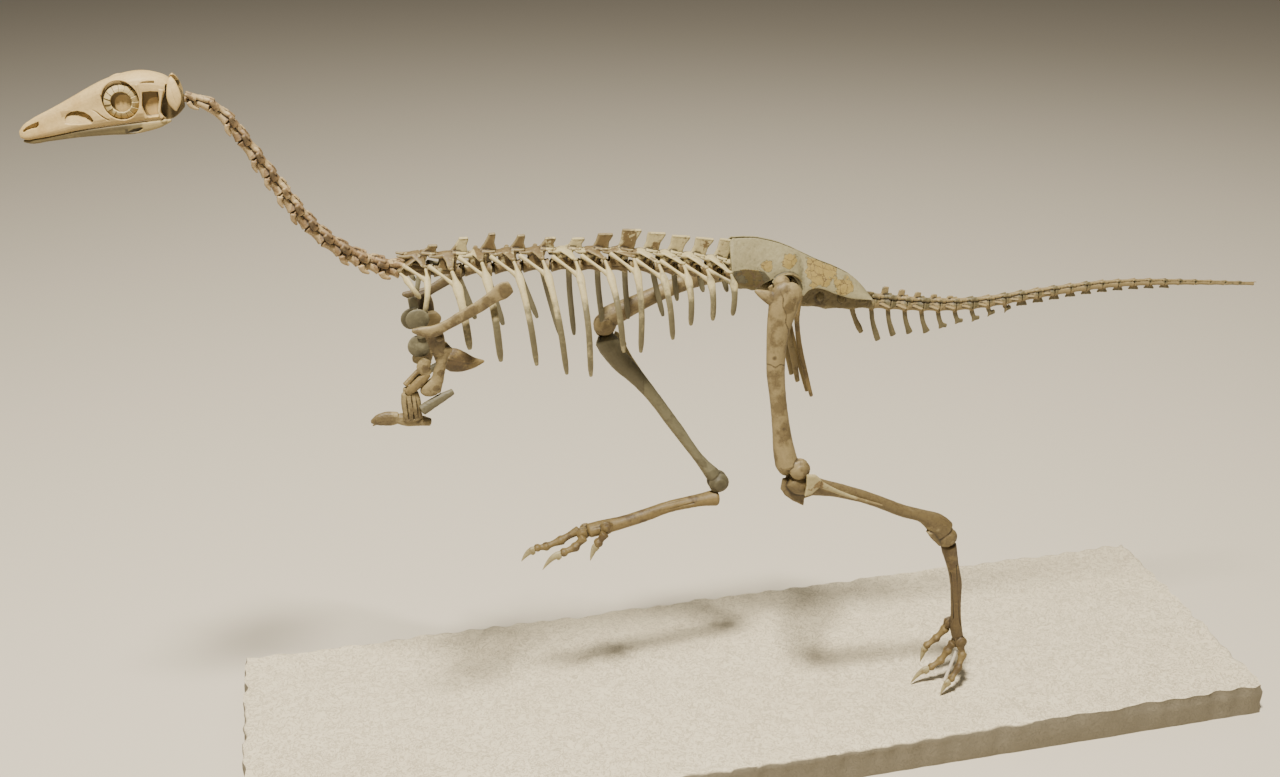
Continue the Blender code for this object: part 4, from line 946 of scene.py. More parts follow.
def hip_rods(side, sign):
    """The pubis and the ischium of one side: two rods that slant down and back."""
    pubis = shaft([(25.5, -11.0, 394.5, 3.6, 1.8), (33.0, -10.5, 374.0, 2.4, 1.7),
                   (39.2, -9.5, 357.0, 2.2, 1.7), (46.0, -8.0, 334.0, 2.4, 1.6),
                   (50.5, -7.0, 314.0, 1.9, 1.4)], 14)
    ischium = shaft([(46.5, -11.8, 388.0, 4.0, 1.8), (46.0, -11.2, 368.0, 2.2, 1.6),
                     (50.0, -8.0, 345.0, 2.1, 1.5), (57.0, -6.0, 320.0, 1.8, 1.4),
                     (63.0, -5.0, 299.5, 1.5, 1.3)], 14)
    for name, piece, finish in (("pubis", pubis, TAN), ("ischium", ischium, BROWN)):
        bone(f"{name}_{side}", [one_side(piece, sign)], finish, voxel=0.36, pitted=0.16)


sacrum()
for side, sign in SIDES.items():
    ilium(side, sign)
    hip_rods(side, sign)

# %% [markdown]
# ## The tail
# The tail bones shrink evenly from hip to tip, and the front ones have side wings. Under each
# joint hangs a chevron. The first are rods with a club end, the next have a foot like a boot, and
# further back only a low skid is left. Spines, wings and chevrons are measured in millimetres;
# the rest of a tail bone is a share of its size.

# %% Tail bones
CHEVRON_DROPS = (25, 20.5, 18, 17, 13, 9.5, 8.5, 5.5, 4)     # below the first joints; skids follow
CHEVRONS, BOOTS_FROM = 19, 4
SPINED, WINGED = 5, 11                                       # how many bones have a spine, and wings


def tail_size(i):
    """Half the height of a tail bone's ends."""
    return 5.0 - 3.9 * i / TAIL_COUNT


def tail_bone(i, at):
    size = tail_size(i)
    pieces = [part(at, [(0.05, 0, 0, 1, 0.95), (0.3, 0, 0, 0.84, 0.78), (0.7, 0, 0, 0.84, 0.78),
                        (0.95, 0, 0, 1, 0.95)], 14, size, dome=0.12, box=0.85),
              part(at, [(-0.1, 0, 0, 0.66, 0.6), (0.1, 0, 0, 0.66, 0.6)], 10, size),
              part(at, [(0.12, 0, 0.95, 0.5, 0.5), (0.86, 0, 1.05, 0.42, 0.42)], 10, size)]
    pieces += both([part(at, [(0.3, 0.4, 1.0, 0.35, 0.3), (-0.14, 0.66, 1.2, 0.28, 0.24)], 8, size),
                    part(at, [(0.7, 0.25, 1.1, 0.35, 0.3), (1.1, 0.42, 1.4, 0.24, 0.22)], 8, size)])
    if i < SPINED:
        high = size + 8.5 - 1.1 * i
        pieces.append(spine_plate(at, [(0.4, size), (0.44, high - 1), (0.54, high), (0.8, high - 0.3),
                                       (0.84, size)], 0.8))
    if i < WINGED:
        reach = size + 8 - 0.75 * i
        pieces += both([part(at, [(0.46, size * 0.4, 0.6, 2.6, 1.1), (0.54, 0.6 * reach, 0.8, 2.0, 0.85),
                                  (0.66, reach, 0.9, 1.3, 0.7)], across=(0, 0, 1))])
    return pieces


def chevron(i, at):
    """The bone below a joint: a rod with a club end, a boot, and then a skid further back."""
    size = tail_size(i)
    if i >= len(CHEVRON_DROPS):
        keel = 0.9 * size
        return [part(at, [(-0.26, 0, -size - 0.9 * keel, 0.6, 0.5),
                          (0.02, 0, -0.7 * size - 0.5 * keel, size, 0.7),
                          (0.36, 0, -size - 1.1 * keel, 0.7, 0.5)])]
    drop = CHEVRON_DROPS[i]
    slant = drop / at[3]
    pieces = [part(at, [(0.0, 0, -0.6 * size, 1.9, 1.8), (0.16 * slant, 0, -size - 0.4 * drop, 1.9, 1.2),
                        (0.38 * slant, 0, -size - 0.82 * drop, 2.4, 1.2),
                        (0.47 * slant, 0, -size - drop + 0.5, 2.4 + 0.25 * i, 1.1)], 12, steps=6, dome=0.8)]
    if i >= BOOTS_FROM:
        pieces.append(part(at, [(0.47 * slant - 0.04, 0, -size - 0.86 * drop, 2.2, 0.9),
                                (0.47 * slant + 0.24, 0, -size - drop + 1.2, 1.7, 0.8)]))
    return pieces


print(f"tail bones shrink from {2 * tail_size(0):.1f} to {2 * tail_size(TAIL_COUNT - 1):.1f} mm")

# %% Tail
def tail():
    seats = seats_along(TAIL_LINE, TAIL_COUNT)
    spots = dark_joints(seats, [tail_size(i) for i in range(TAIL_COUNT)], 8)
    line_x, _, line_z = joints_along(TAIL_LINE, TAIL_COUNT).T

    def stain_and_shade(x, side, z):
        hanging = (np.interp(x, line_x, line_z) - z) > 6.0 - 0.012 * (x - 110)
        return np.where(hanging, 1.0, 0.3) + 1.4 * around(x, z, *spots)

    for name, first, last in (("tail_front", 0, 8), ("tail_middle", 8, 16), ("tail_tip", 16, TAIL_COUNT)):
        pieces = []
        for i in range(first, last):
            pieces += tail_bone(i, seats[i]) + (chevron(i, seats[i]) if i < CHEVRONS else [])
        bone(name, pieces, TAIL_RESIN, voxel=0.26 if name == "tail_tip" else 0.36, soften=2, pitted=0.12,
             grain=2.4, stain_and_shade=stain_and_shade)


tail()

# %% [markdown]
# ## Shoulders and arms
# The shoulder blade is a slim strap, thick where the arm joins it and a little flared at its far
# end. The arms are very short and stout: the upper arm has a broad crest, and the hand carries
# one big thumb with a heavy claw. The two arms hang differently, so each has its own rows.

# %% Shoulder girdle
def shoulder(side, sign):
    blade = shaft([(-238.5, -38.0, 392.6, 1.6, 1.6), (-233.0, -38.5, 391.6, 3.4, 2.0),
                   (-225.0, -39.0, 391.4, 4.2, 2.2), (-218.0, -39.5, 394.2, 3.6, 2.0),
                   (-206.5, -40.0, 400.2, 4.0, 1.9), (-193.0, -40.5, 407.2, 4.3, 1.7),
                   (-183.0, -40.5, 413.4, 4.8, 1.6), (-176.5, -40.2, 417.0, 6.2, 1.6),
                   (-171.5, -40.0, 419.2, 4.6, 1.3)], 18, steps=6, box=0.85, dome=0.6)
    socket = shaft([(-226.0, -37.0, 392.0, 6.0, 1.8), (-224.0, -36.0, 386.0, 6.4, 1.8),
                    (-222.5, -35.0, 379.0, 5.6, 2.0), (-221.0, -34.0, 372.0, 3.6, 1.6)], 14)
    lip = blob((-221.0, -36.5, 385.0), (3.2, 2.4, 2.4))
    ground = 0.6 if sign < 0 else 1.6      # the far blade is the darker one
    bone(f"scapula_{side}", [one_side(p, sign) for p in (blade, socket, lip)], TAN, voxel=0.36, pitted=0.16,
         stain_and_shade=lambda x, side, z: ground + 0.7 * around(x, z, (-224, 382, 12), (-176, 417, 6), (-197, 405, 3)))
    upper = blob((-234.5, -30.0, 397.5), (8.4, 1.7, 7.6))
    lower = blob((-234.0, -27.5, 377.0), (8.6, 1.7, 8.4))
    link = shaft([(-233.0, -30.5, 392.0, 3.4, 1.3), (-232.0, -29.5, 384.0, 3.6, 1.3)], 12)
    plates = [upper] * (sign < 0) + [lower, link]
    bone(f"coracoid_{side}", [one_side(p, sign) for p in plates], OLIVE_SHADE, voxel=0.36, pitted=0.06, stain_and_shade=1.1)


def breastbone():
    keel = shaft([(-218.0, 0, 354.0, 5.0, 5.0), (-211.5, 0, 354.0, 8.6, 5.4), (-203.0, 0, 351.5, 8.0, 4.0),
                  (-195.0, 0, 350.0, 4.6, 2.4), (-187.0, 0, 350.3, 1.0, 0.8)], 16, steps=6)
    ledge = shaft([(-213.0, 0, 357.0, 2.0, 6.2), (-205.0, 0, 353.4, 1.6, 4.6),
                   (-193.0, 0, 350.8, 1.0, 2.6)], 12)
    bone("sternum", [keel, ledge], BROWN, voxel=0.36, pitted=0.2,
         stain_and_shade=lambda x, side, z: 0.95 - 0.55 * ramp(x, -214, -196))


breastbone()
for side, sign in SIDES.items():
    shoulder(side, sign)

# %% Arms and hands
HAND = {
    # (x, distance from the mid-plane, z, half depth, half width)
    "left": {
        "ulna": ((-213.5, 30, 341.8, 2.2, 2.0), (-220.5, 30.5, 338.6, 3.2, 2.6), (-229.0, 31, 334.2, 3.7, 3.0),
                 (-235.5, 31.5, 330.6, 3.9, 3.2)),
        "radius": ((-230.0, 30.5, 357.0, 2.6, 2.4), (-235.0, 30.5, 352.4, 3.4, 2.6),
                   (-240.5, 30.5, 347.6, 3.2, 2.6), (-245.0, 30, 344.2, 2.6, 2.2)),
        "hand": ((-243.0, 28, 343.0, 6.0, 3.6), (-242.6, 28, 336.0, 7.0, 4.4), (-242.4, 28, 328.5, 6.6, 4.2),
                 (-242.0, 27, 323.0, 7.2, 3.8)),
        "thumb": ((-230.0, 26, 318.4, 2.8, 2.6), (-238.0, 26, 320.6, 4.0, 3.4), (-247.5, 25, 321.6, 4.4, 3.4),
                  (-251.6, 24, 322.6, 4.0, 3.2)),
        "thumb_claw": ((-252.0, 24, 323.2, 4.2, 3.2), (-257.0, 23.6, 323.0, 5.2, 3.4),
                       (-262.5, 23, 322.8, 4.8, 3.0), (-267.0, 22.6, 322.0, 3.6, 2.4),
                       (-270.6, 22.2, 321.2, 1.3, 1.1))},
    "right": {
        "ulna": ((-213.0, 28, 342.6, 1.9, 1.8), (-218, 27.5, 339.4, 2.4, 2.2), (-229, 25.5, 334.2, 2.8, 2.4),
                 (-239.0, 22.5, 328.4, 3.4, 3.0)),
        "radius": ((-229.0, 23.5, 341.0, 1.9, 1.8), (-236.0, 21.0, 335.6, 1.8, 1.7),
                   (-242.8, 18.5, 329.6, 2.2, 2.0)),
        "hand": ((-240.2, 19.5, 326.6, 4.6, 3.2), (-240.0, 19, 318.0, 5.4, 3.8),
                 (-240.4, 18.5, 309.6, 5.2, 3.6)),
        "thumb": ((-237.0, 18.5, 307.2, 3.2, 3.0), (-243.0, 18.5, 304.8, 3.4, 3.0),
                  (-248.0, 18.5, 303.8, 3.2, 2.8), (-253.0, 18.5, 304.0, 3.5, 2.8)),
        "thumb_claw": ((-253.6, 18.5, 304.1, 3.6, 2.4), (-258.0, 18.5, 304.2, 3.4, 2.2),
                       (-263.0, 18.5, 302.8, 2.2, 1.6), (-268.5, 18.5, 299.6, 0.4, 0.4))},
}


def humerus(side, sign):
    """The upper arm; the near one shows its wide head and its crest."""
    stem = shaft([(-220.0, -31.0, 379.0, 4.6, 2.8), (-219.8, -31.5, 374.6, 7.2, 3.6),
                  (-220.0, -31.3, 369.4, 5.2, 3.3), (-220.2, -31.0, 364.5, 3.9, 3.1),
                  (-222.0, -30.5, 358.0, 4.0, 3.0), (-223.8, -30.0, 351.5, 4.7, 3.2),
                  (-227.0, -30.0, 346.6, 6.6, 3.7), (-228.8, -30.0, 343.6, 7.4, 3.4),
                  (-228.8, -30.0, 341.4, 5.0, 2.8)], 16)
    head = shaft([(-227.2, -33.4, 376.6, 2.6, 1.6), (-220.0, -34.2, 375.6, 3.0, 1.6),
                  (-213.2, -33.2, 374.4, 2.2, 1.4)], 12)
    crest = shaft([(-230.0, -31.0, 368.0, 3.6, 2.4), (-232.6, -31.0, 362.6, 5.0, 2.6),
                   (-230.0, -30.6, 357.0, 3.2, 2.2)], 12)
    pieces = [stem, head, crest] if sign < 0 else [stem]
    spots = ((-226, 371, 4), (-231, 362, 5), (-221, 358, 3), (-225, 347, 3))
    bone(f"humerus_{side}", [one_side(p, sign) for p in pieces], TAN, voxel=0.34, soften=2, pitted=0.22,
         grain=2.5, stain_and_shade=lambda x, side, z: 0.35 + around(x, z, *spots))


def forearm(side, sign):
    """The other arm bones. Grooves in the hand show that it is grown together from several."""
    for name, rows in HAND[side].items():
        piece = shaft([(x, -y, z, deep, wide) for x, y, z, deep, wide in rows], 14, steps=6, dome=0.3, box=0.85)
        if name == "hand":
            (top_x, top_side, top_z), (end_x, end_side, end_z) = rows[0][:3], rows[-1][:3]
            piece = carve(piece, [shaft([(top_x + shift, -top_side - 3.9, top_z, 0.5, 0.8),
                                         (end_x + shift, -end_side - 4.1, end_z + 1, 0.6, 0.9)], 8)
                                  for shift in (-3.0, 0.6, 3.8)])
        wash = 1.0 if name == "ulna" else 0.45
        bone(f"{name}_{side}", [one_side(piece, sign)], {"ulna": OLIVE_SHADE, "radius": BROWN}.get(name, TAN),
             voxel=0.28, soften=2, pitted=0.2, grain=2.2,
             stain_and_shade=lambda x, side, z: wash + 0.4 * ramp(x, -256, -266))


for side, sign in SIDES.items():
    humerus(side, sign)
    forearm(side, sign)

# %% [markdown]
# ## The legs
# Each long bone runs from joint to joint with its measured rows beside that line. The thigh bone
# has a round head turned in to the hip and a spur in front of it; the shin bone has a crest below
# the knee; the foot bone ends in three pulleys, one for each toe. Drawn this way, a leg keeps the
# shape of its bones when a joint is moved.

# %% Limb frames
# The thigh runs from hip to knee, the shin bone from shin to ankle and the foot bone from heel to
# toes: x, distance from the mid-plane and z.
LEFT_LEG = {"knee": (35.0, 38.0, 253.0), "shin": (35.0, 38.0, 253.0), "ankle": (180.0, 28.0, 170.5),
            "heel": (180.0, 28.0, 170.5), "toes": (197.5, 22.5, 67.0)}
RIGHT_LEG = {"knee": (-93.0, 46.0, 355.0), "shin": (-88.0, 46.0, 347.0), "ankle": (5.5, 39.0, 205.5),
             "heel": (8.5, 38.0, 197.0), "toes": (-110.0, 36.0, 180.5)}
# Rows of share of the length, ahead, aside, half depth and half width.
FEMUR_ROWS = ((-0.045, -1.0, 7, 5.5, 4.0), (-0.01, 1.2, 7, 9.8, 5.4), (0.018, 2.0, 7, 11.2, 5.8),
              (0.06, 2.8, 7, 11.4, 5.8), (0.125, 4.9, 6.5, 10.3, 5.6), (0.19, 6.9, 6, 8.9, 5.3),
              (0.3, 8.6, 5, 7.6, 5.0), (0.41, 9.2, 4, 7.0, 5.0), (0.59, 7.4, 3, 6.3, 5.0),
              (0.77, 4.8, 1, 7.1, 6.2), (0.89, 2.7, 0, 8.4, 8.2), (0.95, 1.0, 0, 8.8, 8.8))
TIBIA_ROWS = {
    "left": ((0.035, 3.5, 0, 7.6, 7.6), (0.07, 4.4, 0, 8.8, 8.4), (0.12, 3.4, 0, 8.2, 7.0),
             (0.19, 1.3, 0, 6.9, 5.4), (0.27, -1.6, 0, 5.8, 4.8), (0.34, -3.3, 0, 5.4, 4.7),
             (0.42, -5.0, 0, 5.0, 4.6), (0.535, -6.1, 0, 4.9, 4.6), (0.66, -6.7, 0, 5.0, 4.8),
             (0.78, -8.9, 0, 5.4, 5.4), (0.87, -7.7, 0, 8.8, 6.8), (0.93, -4.5, 0, 10.0, 7.4)),
    "right": ((0.03, 3.3, 0, 8.0, 7.4), (0.07, 3.4, 0, 8.9, 8.2), (0.12, 4.4, 0, 8.0, 7.0),
              (0.17, 3.9, 0, 7.8, 6.0), (0.24, 2.1, 0, 6.9, 5.2), (0.3, 1.0, 0, 6.0, 4.9),
              (0.36, 0.3, 0, 5.3, 4.7), (0.6, 0, 0, 4.8, 4.6), (0.85, -0.3, 0, 4.6, 5.0),
              (0.92, -1.2, 0, 6.2, 6.4))}
# Corners of the shin's crest, as share of the length and ahead.
CREST = {"left": ((-0.01, 6), (0.012, 14.5), (0.047, 17.5), (0.099, 19.4), (0.163, 19.7), (0.145, 13.8),
                  (0.18, 9), (0.2, 3), (0.05, 2)),
         "right": ((0, 6), (0.03, 11.8), (0.075, 12.6), (0.16, 12), (0.22, 9), (0.24, 3), (0.05, 2))}
METATARSUS_ROWS = {
    "left": ((0.052, 1.8, 0, 6.4, 6.6), (0.1, 1.2, 0, 6.1, 6.6), (0.2, -0.2, 0, 5.2, 5.8),
             (0.3, -1.6, 0, 4.7, 5.2), (0.4, -2.7, 0, 4.9, 4.8), (0.6, -1.8, 0, 4.2, 4.8),
             (0.72, -1.2, 0, 4.0, 5.4), (0.86, -0.6, 0, 4.6, 6.8), (0.95, -1.4, 0, 4.6, 6.6)),
    "right": ((0.06, 1.0, 0, 6.8, 6.8), (0.16, 2.3, 0, 5.2, 5.8), (0.25, 2.9, 0, 4.9, 5.2),
              (0.4, 3.4, 0, 4.8, 4.8), (0.53, 1.6, 0, 5.2, 4.8), (0.73, -0.2, 0, 5.2, 5.4),
              (0.87, 0, 0, 5.6, 6.8), (0.95, 0, 0, 5.6, 6.6))}

for name, joints in (("left", LEFT_LEG), ("right", RIGHT_LEG)):
    hip, knee = np.array(HIP), np.array(joints["knee"])
    shin, ankle, heel, toes = (np.array(joints[key]) for key in ("shin", "ankle", "heel", "toes"))
    lengths = [round(float(np.linalg.norm(b - a))) for a, b in ((hip, knee), (shin, ankle), (heel, toes))]
    print(name, "thigh, shin and foot bone:", lengths, "mm")

# %% Parts of a limb
def beside(a, b, along, ahead, aside=0.0):
    """A point by the line from a to b: `ahead` to the animal's front and `aside` outward."""
    length = np.linalg.norm(b - a)
    axis = (b - a) / length
    fore = np.array([axis[2], 0, -axis[0]])
    fore /= np.linalg.norm(fore)
    return a + axis * (along * length) + fore * ahead + (0, aside * np.sign(a[1]), 0)


def limb(a, b, rows, sides=20):
    """A shaft beside the line from a to b: rows of (along, ahead, aside, half depth, half width)."""
    return shaft([(*beside(a, b, along, ahead, aside), deep, wide)
                  for along, ahead, aside, deep, wide in rows], sides)


def pulley(centre, radius, half_width, groove=0.8):
    """A joint surface that turns about Y, with a groove round its middle."""
    x, y, z = centre
    return shaft([(x, y + half_width * k, z, radius * size, radius * size)
                  for k, size in ((-1, 0.66), (-0.6, 1), (0, groove), (0.6, 1), (1, 0.66))], 18, steps=4,
                 across=(1, 0, 0), dome=0.3)


def fin(a, b, edge, aside, thick):
    """A thin plate beside a limb: `edge` lists its (along, ahead) corners."""
    return thick_plate(np.array([beside(a, b, along, ahead, aside) for along, ahead in edge]), thick, 0.84)


print("a roller has", len(pulley((0, 0, 0), 5, 4)[1]), "faces before it is wrapped")

# %% [markdown]
# The near thigh bone shows its age: one dark crack runs along it below the hip and another goes
# round it further down, with a few dark stains between them.

# %% Thigh bone
def femur(side, sign, hip, knee):
    ball = shaft([(*(hip + (0, -sign * inward, up)), size, size) for inward, up, size in
                  ((9.5, 3.2, 3.6), (6.0, 3.2, 6.2), (1.5, 2.6, 5.4), (-4.0, 1.5, 5.6))], 16, across=(1, 0, 0))
    trochanter = blob(beside(hip, knee, 0.014, -1.2, 7), (10.6, 5.8, 10.2))
    spur = limb(hip, knee, [(0.035, 8, 7, 6.2, 3.6), (0.004, 15.5, 7, 4.4, 3.0), (-0.018, 21, 7, 2.6, 2.2),
                            (-0.03, 24, 7, 1.1, 1.0)], 12)
    outer = pulley(beside(hip, knee, 0.972, -7.2, 4.8), 7.8, 4.6, groove=0.97)
    inner = pulley(beside(hip, knee, 0.97, -1.0, -4.6), 8.4, 4.4, groove=0.97)

    def worn(x, y, z):
        ring_crack = np.abs(z - 341 - 0.9 * np.sin(0.8 * x)) < 0.4
        long_crack = (np.abs(x - 27 + 0.2 * (z - 385) - 0.7 * np.sin(0.5 * z)) < 0.32) & (z > 364) & (z < 397)
        return (0.5 + 1.2 * (ring_crack | long_crack) + 1.3 * around(x, z, (21, 347, 2.2), (29, 291, 3))
                + 0.7 * around(x, z, (31, 384, 5), (48.5, 251, 8)))

    bone(f"femur_{side}", [limb(hip, knee, FEMUR_ROWS), ball, trochanter, spur, outer, inner], TAN, voxel=0.46,
         pitted=0.2, grain=6, stain_and_shade=worn if sign < 0 else 0.75)


# %% [markdown]
# The shin bone ends in a grooved roller for the ankle. Beside it lies the fibula, a short plate
# below the knee that thins into a splint. The far shin is olive above and pale below a break.

# %% Shin bones
def tibiotarsus(side, sign, knee, ankle):
    near = sign < 0
    roller = pulley(beside(knee, ankle, 0.965, -1.2), 8.4, 6.8, groove=0.86)
    pieces = [limb(knee, ankle, TIBIA_ROWS[side]), fin(knee, ankle, CREST[side], 0, 2.2), roller]
    if near:        # the flange that rises in front of the ankle
        pieces.append(fin(knee, ankle, ((0.84, 1), (0.885, 4.6), (0.95, 8.0), (0.98, 4), (0.9, -4)), 2.0, 3.0))
    break_x = beside(knee, ankle, 0.31, 0)[0]

    def near_patina(x, y, z):
        return 1.05 - 0.2 * ramp(x, 60, 90)

    def far_patina(x, y, z):
        return (0.95 - 0.5 * ramp(x, break_x - 3, break_x) + 1.7 * around(x, z, (3, 208, 18))
                + 0.8 * (np.abs(x - break_x) < 0.6))

    bone(f"tibiotarsus_{side}", pieces, TAN if near else OLIVE_SHADE, voxel=0.48, pitted=0.2, grain=6,
         stain_and_shade=near_patina if near else far_patina)


def fibula(side, sign, knee, ankle):
    plate = fin(knee, ankle, ((0.054, -6.7), (0.095, -9.5), (0.14, -7.6), (0.15, -2), (0.13, 6.5), (0.106, 9.6),
                              (0.085, 1.3)), 10.0, 1.5)
    end = (0.52, -6.0) if sign < 0 else (0.36, -2.4)
    splint = limb(knee, ankle, [(0.1, -4, 10.0, 4.0, 1.5), (0.18, -3.4, 9.0, 2.4, 1.4),
                                (0.30, -3.0, 7.2, 1.5, 1.3), (*end, 5.6, 0.8, 0.9)], 12)
    bone(f"fibula_{side}", [plate, splint], CREAM, voxel=0.34, pitted=0.1)


# %% [markdown]
# The foot bone is three bones pressed into one, so grooves run down all its sides. They are cut
# from the plain stem before the three pulleys are joined on, because a cut through pieces that
# already overlap leaves torn edges.

# %% Foot bone
def metatarsus(side, sign, heel, toes):
    near = sign < 0
    pulleys = [pulley(beside(heel, toes, along, ahead, aside), radius, 2.7, groove=0.84)
               for along, ahead, aside, radius in
               ((0.84, 2.0, -6.2, 5.2), (1.0, -1.2, 0, 5.4), (0.97, -1.6, 6.2, 5.0))]
    middle = METATARSUS_ROWS[side][4 if near else 3][1]
    grooves = [limb(heel, toes, [(along, middle + ahead, aside, 0.7, 0.8) for along in (0.22, 0.5, 0.93)], 8)
               for ahead, aside in ((4.6, 2.2), (4.6, -2.2), (-5.0, 2.2), (-5.0, -2.2), (0.6, 5.1),
                                    (0.6, -5.1))]
    stem = carve(limb(heel, toes, METATARSUS_ROWS[side]), grooves)
    bone(f"metatarsus_{side}", [stem] + pulleys, BROWN, voxel=0.4, soften=2, pitted=0.2, grain=4,
         stain_and_shade=0.85 if near else lambda x, y, z: 0.5 - 0.5 * ramp(x, -9, -3))


for (side, sign), joints in zip(SIDES.items(), (LEFT_LEG, RIGHT_LEG)):
    hip, knee, shin, ankle, heel, toes = (np.array([x, sign * y, z]) for x, y, z in (HIP, *joints.values()))
    femur(side, sign, hip, knee)
    tibiotarsus(side, sign, shin, ankle)
    fibula(side, sign, shin, ankle)
    metatarsus(side, sign, heel, toes)

# %% [markdown]
# A toe bone has a wide heel, a waist and a small pulley at its far end, and each toe ends in a
# curved claw. The near foot stands on two of its claws, and the far one hangs loose.

# %% Toes and claws
TOES = {
    # joints of each toe, ending in the claw's tip: x, distance from the mid-plane, z
    "left": {"2": ((192, 15.5, 84), (190, 14.5, 75), (183.5, 13, 66), (176, 12, 59.5), (172, 11, 42.6)),
             "3": ((195, 21.5, 65), (191, 21.5, 58), (185.5, 21, 48.5), (177.5, 20.5, 43), (160, 20, 28.6)),
             "4": ((198.5, 28.5, 68), (199.5, 32, 59), (194.6, 36, 49.6), (187.6, 39, 41.8),
                   (177.6, 41.5, 29.2))},
    "right": {"2": ((-94, 26, 182), (-99.5, 26, 174.7), (-106.2, 26, 158.9)),
              "3": ((-110, 32, 177.5), (-117.5, 31, 170.3), (-127, 30, 167.5), (-144.7, 30, 153.5)),
              "4": ((-113, 38, 181.5), (-128, 38, 174), (-140, 38, 170.2), (-146.9, 38, 170),
                    (-160.2, 38, 159))},
}
TOE_RADIUS = 3.9


def toe_bone(a, b, size, first):
    """One toe bone; only the first of a toe reaches right to its joint."""
    reach = b - a
    rows = [(*(a + reach * t), size * deep, size * wide) for t, deep, wide in
            ((0.0 if first else 0.1, 0.98, 1.0), (0.25, 0.86, 0.86), (0.55, 0.72, 0.74), (0.85, 0.8, 0.86),
             (0.98, 0.84, 0.9))]
    return [shaft(rows, 14, dome=0.35), pulley(a + reach * 0.95, size * 0.9, size * 0.8)]


def claw(base, tip, radius):
    """A curved, pointed claw with a swollen heel below it."""
    reach = tip - base
    long = np.linalg.norm(reach)
    bulge = np.array([0, 0, 0.16 * long])
    rows = [(*(base + reach * t + bulge * lift), radius * deep, radius * wide) for t, lift, deep, wide in
            ((0, 0, 1, 0.72), (0.16, 0.55, 1.02, 0.7), (0.38, 1, 0.82, 0.56), (0.7, 0.8, 0.5, 0.36))]
    body = shaft(rows + [(*(tip - reach * 0.02), 0.22, 0.2)], 14, steps=6, dome=0.3)
    heel = blob(base + reach * 0.12 - (0, 0, radius * 0.45), (radius * 0.55, radius * 0.5, radius * 0.5))
    return [body, heel]


def foot(side, sign):
    """Every toe is one piece of several bones, and every claw a piece of its own."""
    for number, places in TOES[side].items():
        points = [np.array([x, sign * y, z], float) for x, y, z in places]
        pieces = []
        for i, (a, b) in enumerate(zip(points[:-2], points[1:-1])):
            pieces += toe_bone(a, b, TOE_RADIUS * (1 - 0.09 * i), i == 0)
        bone(f"toe_{number}_{side}", pieces, BROWN, voxel=0.3, pitted=0.14, grain=2)
        reach = points[-1] - points[-2]
        start = points[-2] + reach / np.linalg.norm(reach) * (TOE_RADIUS * 0.7)
        bone(f"toe_claw_{number}_{side}", claw(start, points[-1], 3.3), CLAW, voxel=0.26, pitted=0.06)


for side, sign in SIDES.items():
    foot(side, sign)

# %% [markdown]
# ## The slab and its pin
# The slab is plaster, trowelled rough on top and broken along its edges. The paint on it has slow
# drifts of tone and a fine net of crackle lines, and the steep broken sides are painted darker and
# greyer as painted shade.

# %% Plaster
DRIFT, CRACKLE, GRIT = 60, 6, 2.2          # sizes of its patterns, in mm


def rough_plaster():
    mat = bpy.data.materials.new("rough_plaster")
    mat.use_nodes = True
    tree = mat.node_tree
    shader = tree.nodes["Principled BSDF"]
    place = add(tree, "TexCoord").outputs["Object"]
    drift = add(tree, "TexNoise", {"Vector": place, "Scale": per_mm(DRIFT), "Detail": 4, "Roughness": 0.6})
    colour = add(tree, "MixRGB", {"Fac": drift.outputs["Fac"], "Color1": srgb("#E8DDBF"),
                                  "Color2": srgb("#D8CBAC")})
    bent = add(tree, "MixRGB", {"Fac": 0.02, "Color1": place, "Color2": drift.outputs["Color"]}, blend_type="ADD")
    crackle = add(tree, "TexNoise", {"Vector": bent.outputs[0], "Scale": per_mm(CRACKLE), "Detail": 5,
                                     "Roughness": 0.6, "Distortion": 1.6})
    vein = add(tree, "Math", {0: crackle.outputs["Fac"], 1: 0.5}, operation="SUBTRACT")
    vein = add(tree, "Math", {0: vein.outputs[0]}, operation="ABSOLUTE")
    vein = add(tree, "MapRange", {"Value": vein.outputs[0], "From Max": 0.035, "To Min": 1, "To Max": 0})
    colour = add(tree, "MixRGB", {"Fac": vein.outputs[0], "Color1": colour.outputs[0], "Color2": srgb("#B7AB90")})
    # painted shade: faces steeper than the top darken toward a grey brown
    upright = add(tree, "SeparateXYZ", {"Vector": add(tree, "NewGeometry").outputs["Normal"]})
    side_shade = add(tree, "MapRange", {"Value": upright.outputs["Z"], "From Min": 0.75, "From Max": 0.35})
    colour = add(tree, "MixRGB", {"Fac": side_shade.outputs[0], "Color1": colour.outputs[0], "Color2": srgb("#7A725F")})
    tree.links.new(colour.outputs[0], shader.inputs["Base Color"])
    shader.inputs["Roughness"].default_value = 0.92
    grit = add(tree, "TexNoise", {"Vector": place, "Scale": per_mm(GRIT), "Detail": 4})
    height = add(tree, "Math", {0: grit.outputs["Fac"], 1: vein.outputs[0]}, operation="SUBTRACT")
    bump = add(tree, "Bump", {"Height": height.outputs[0], "Strength": 0.5, "Distance": 0.8 * MM})
    tree.links.new(bump.outputs[0], shader.inputs["Normal"])
    return mat


PLASTER = rough_plaster()
PIN_PAINT = painted_resin("pale_painted_steel", "#D8D0C0", "#C9BFAC", "#8F8675", hollows=0.2, specks=0, cracks=0,
                          roughness=0.5)
print("slab and pin:", PLASTER.name, "and", PIN_PAINT.name)

# %% [markdown]
# A broken edge is no straight line. Its wander is the sum of long and short waves, and it fades
# out a little way in from the edge. The sides are rings of points that lie further in toward the
# top, and the top is a fine grid whose outermost points are those of the last ring.

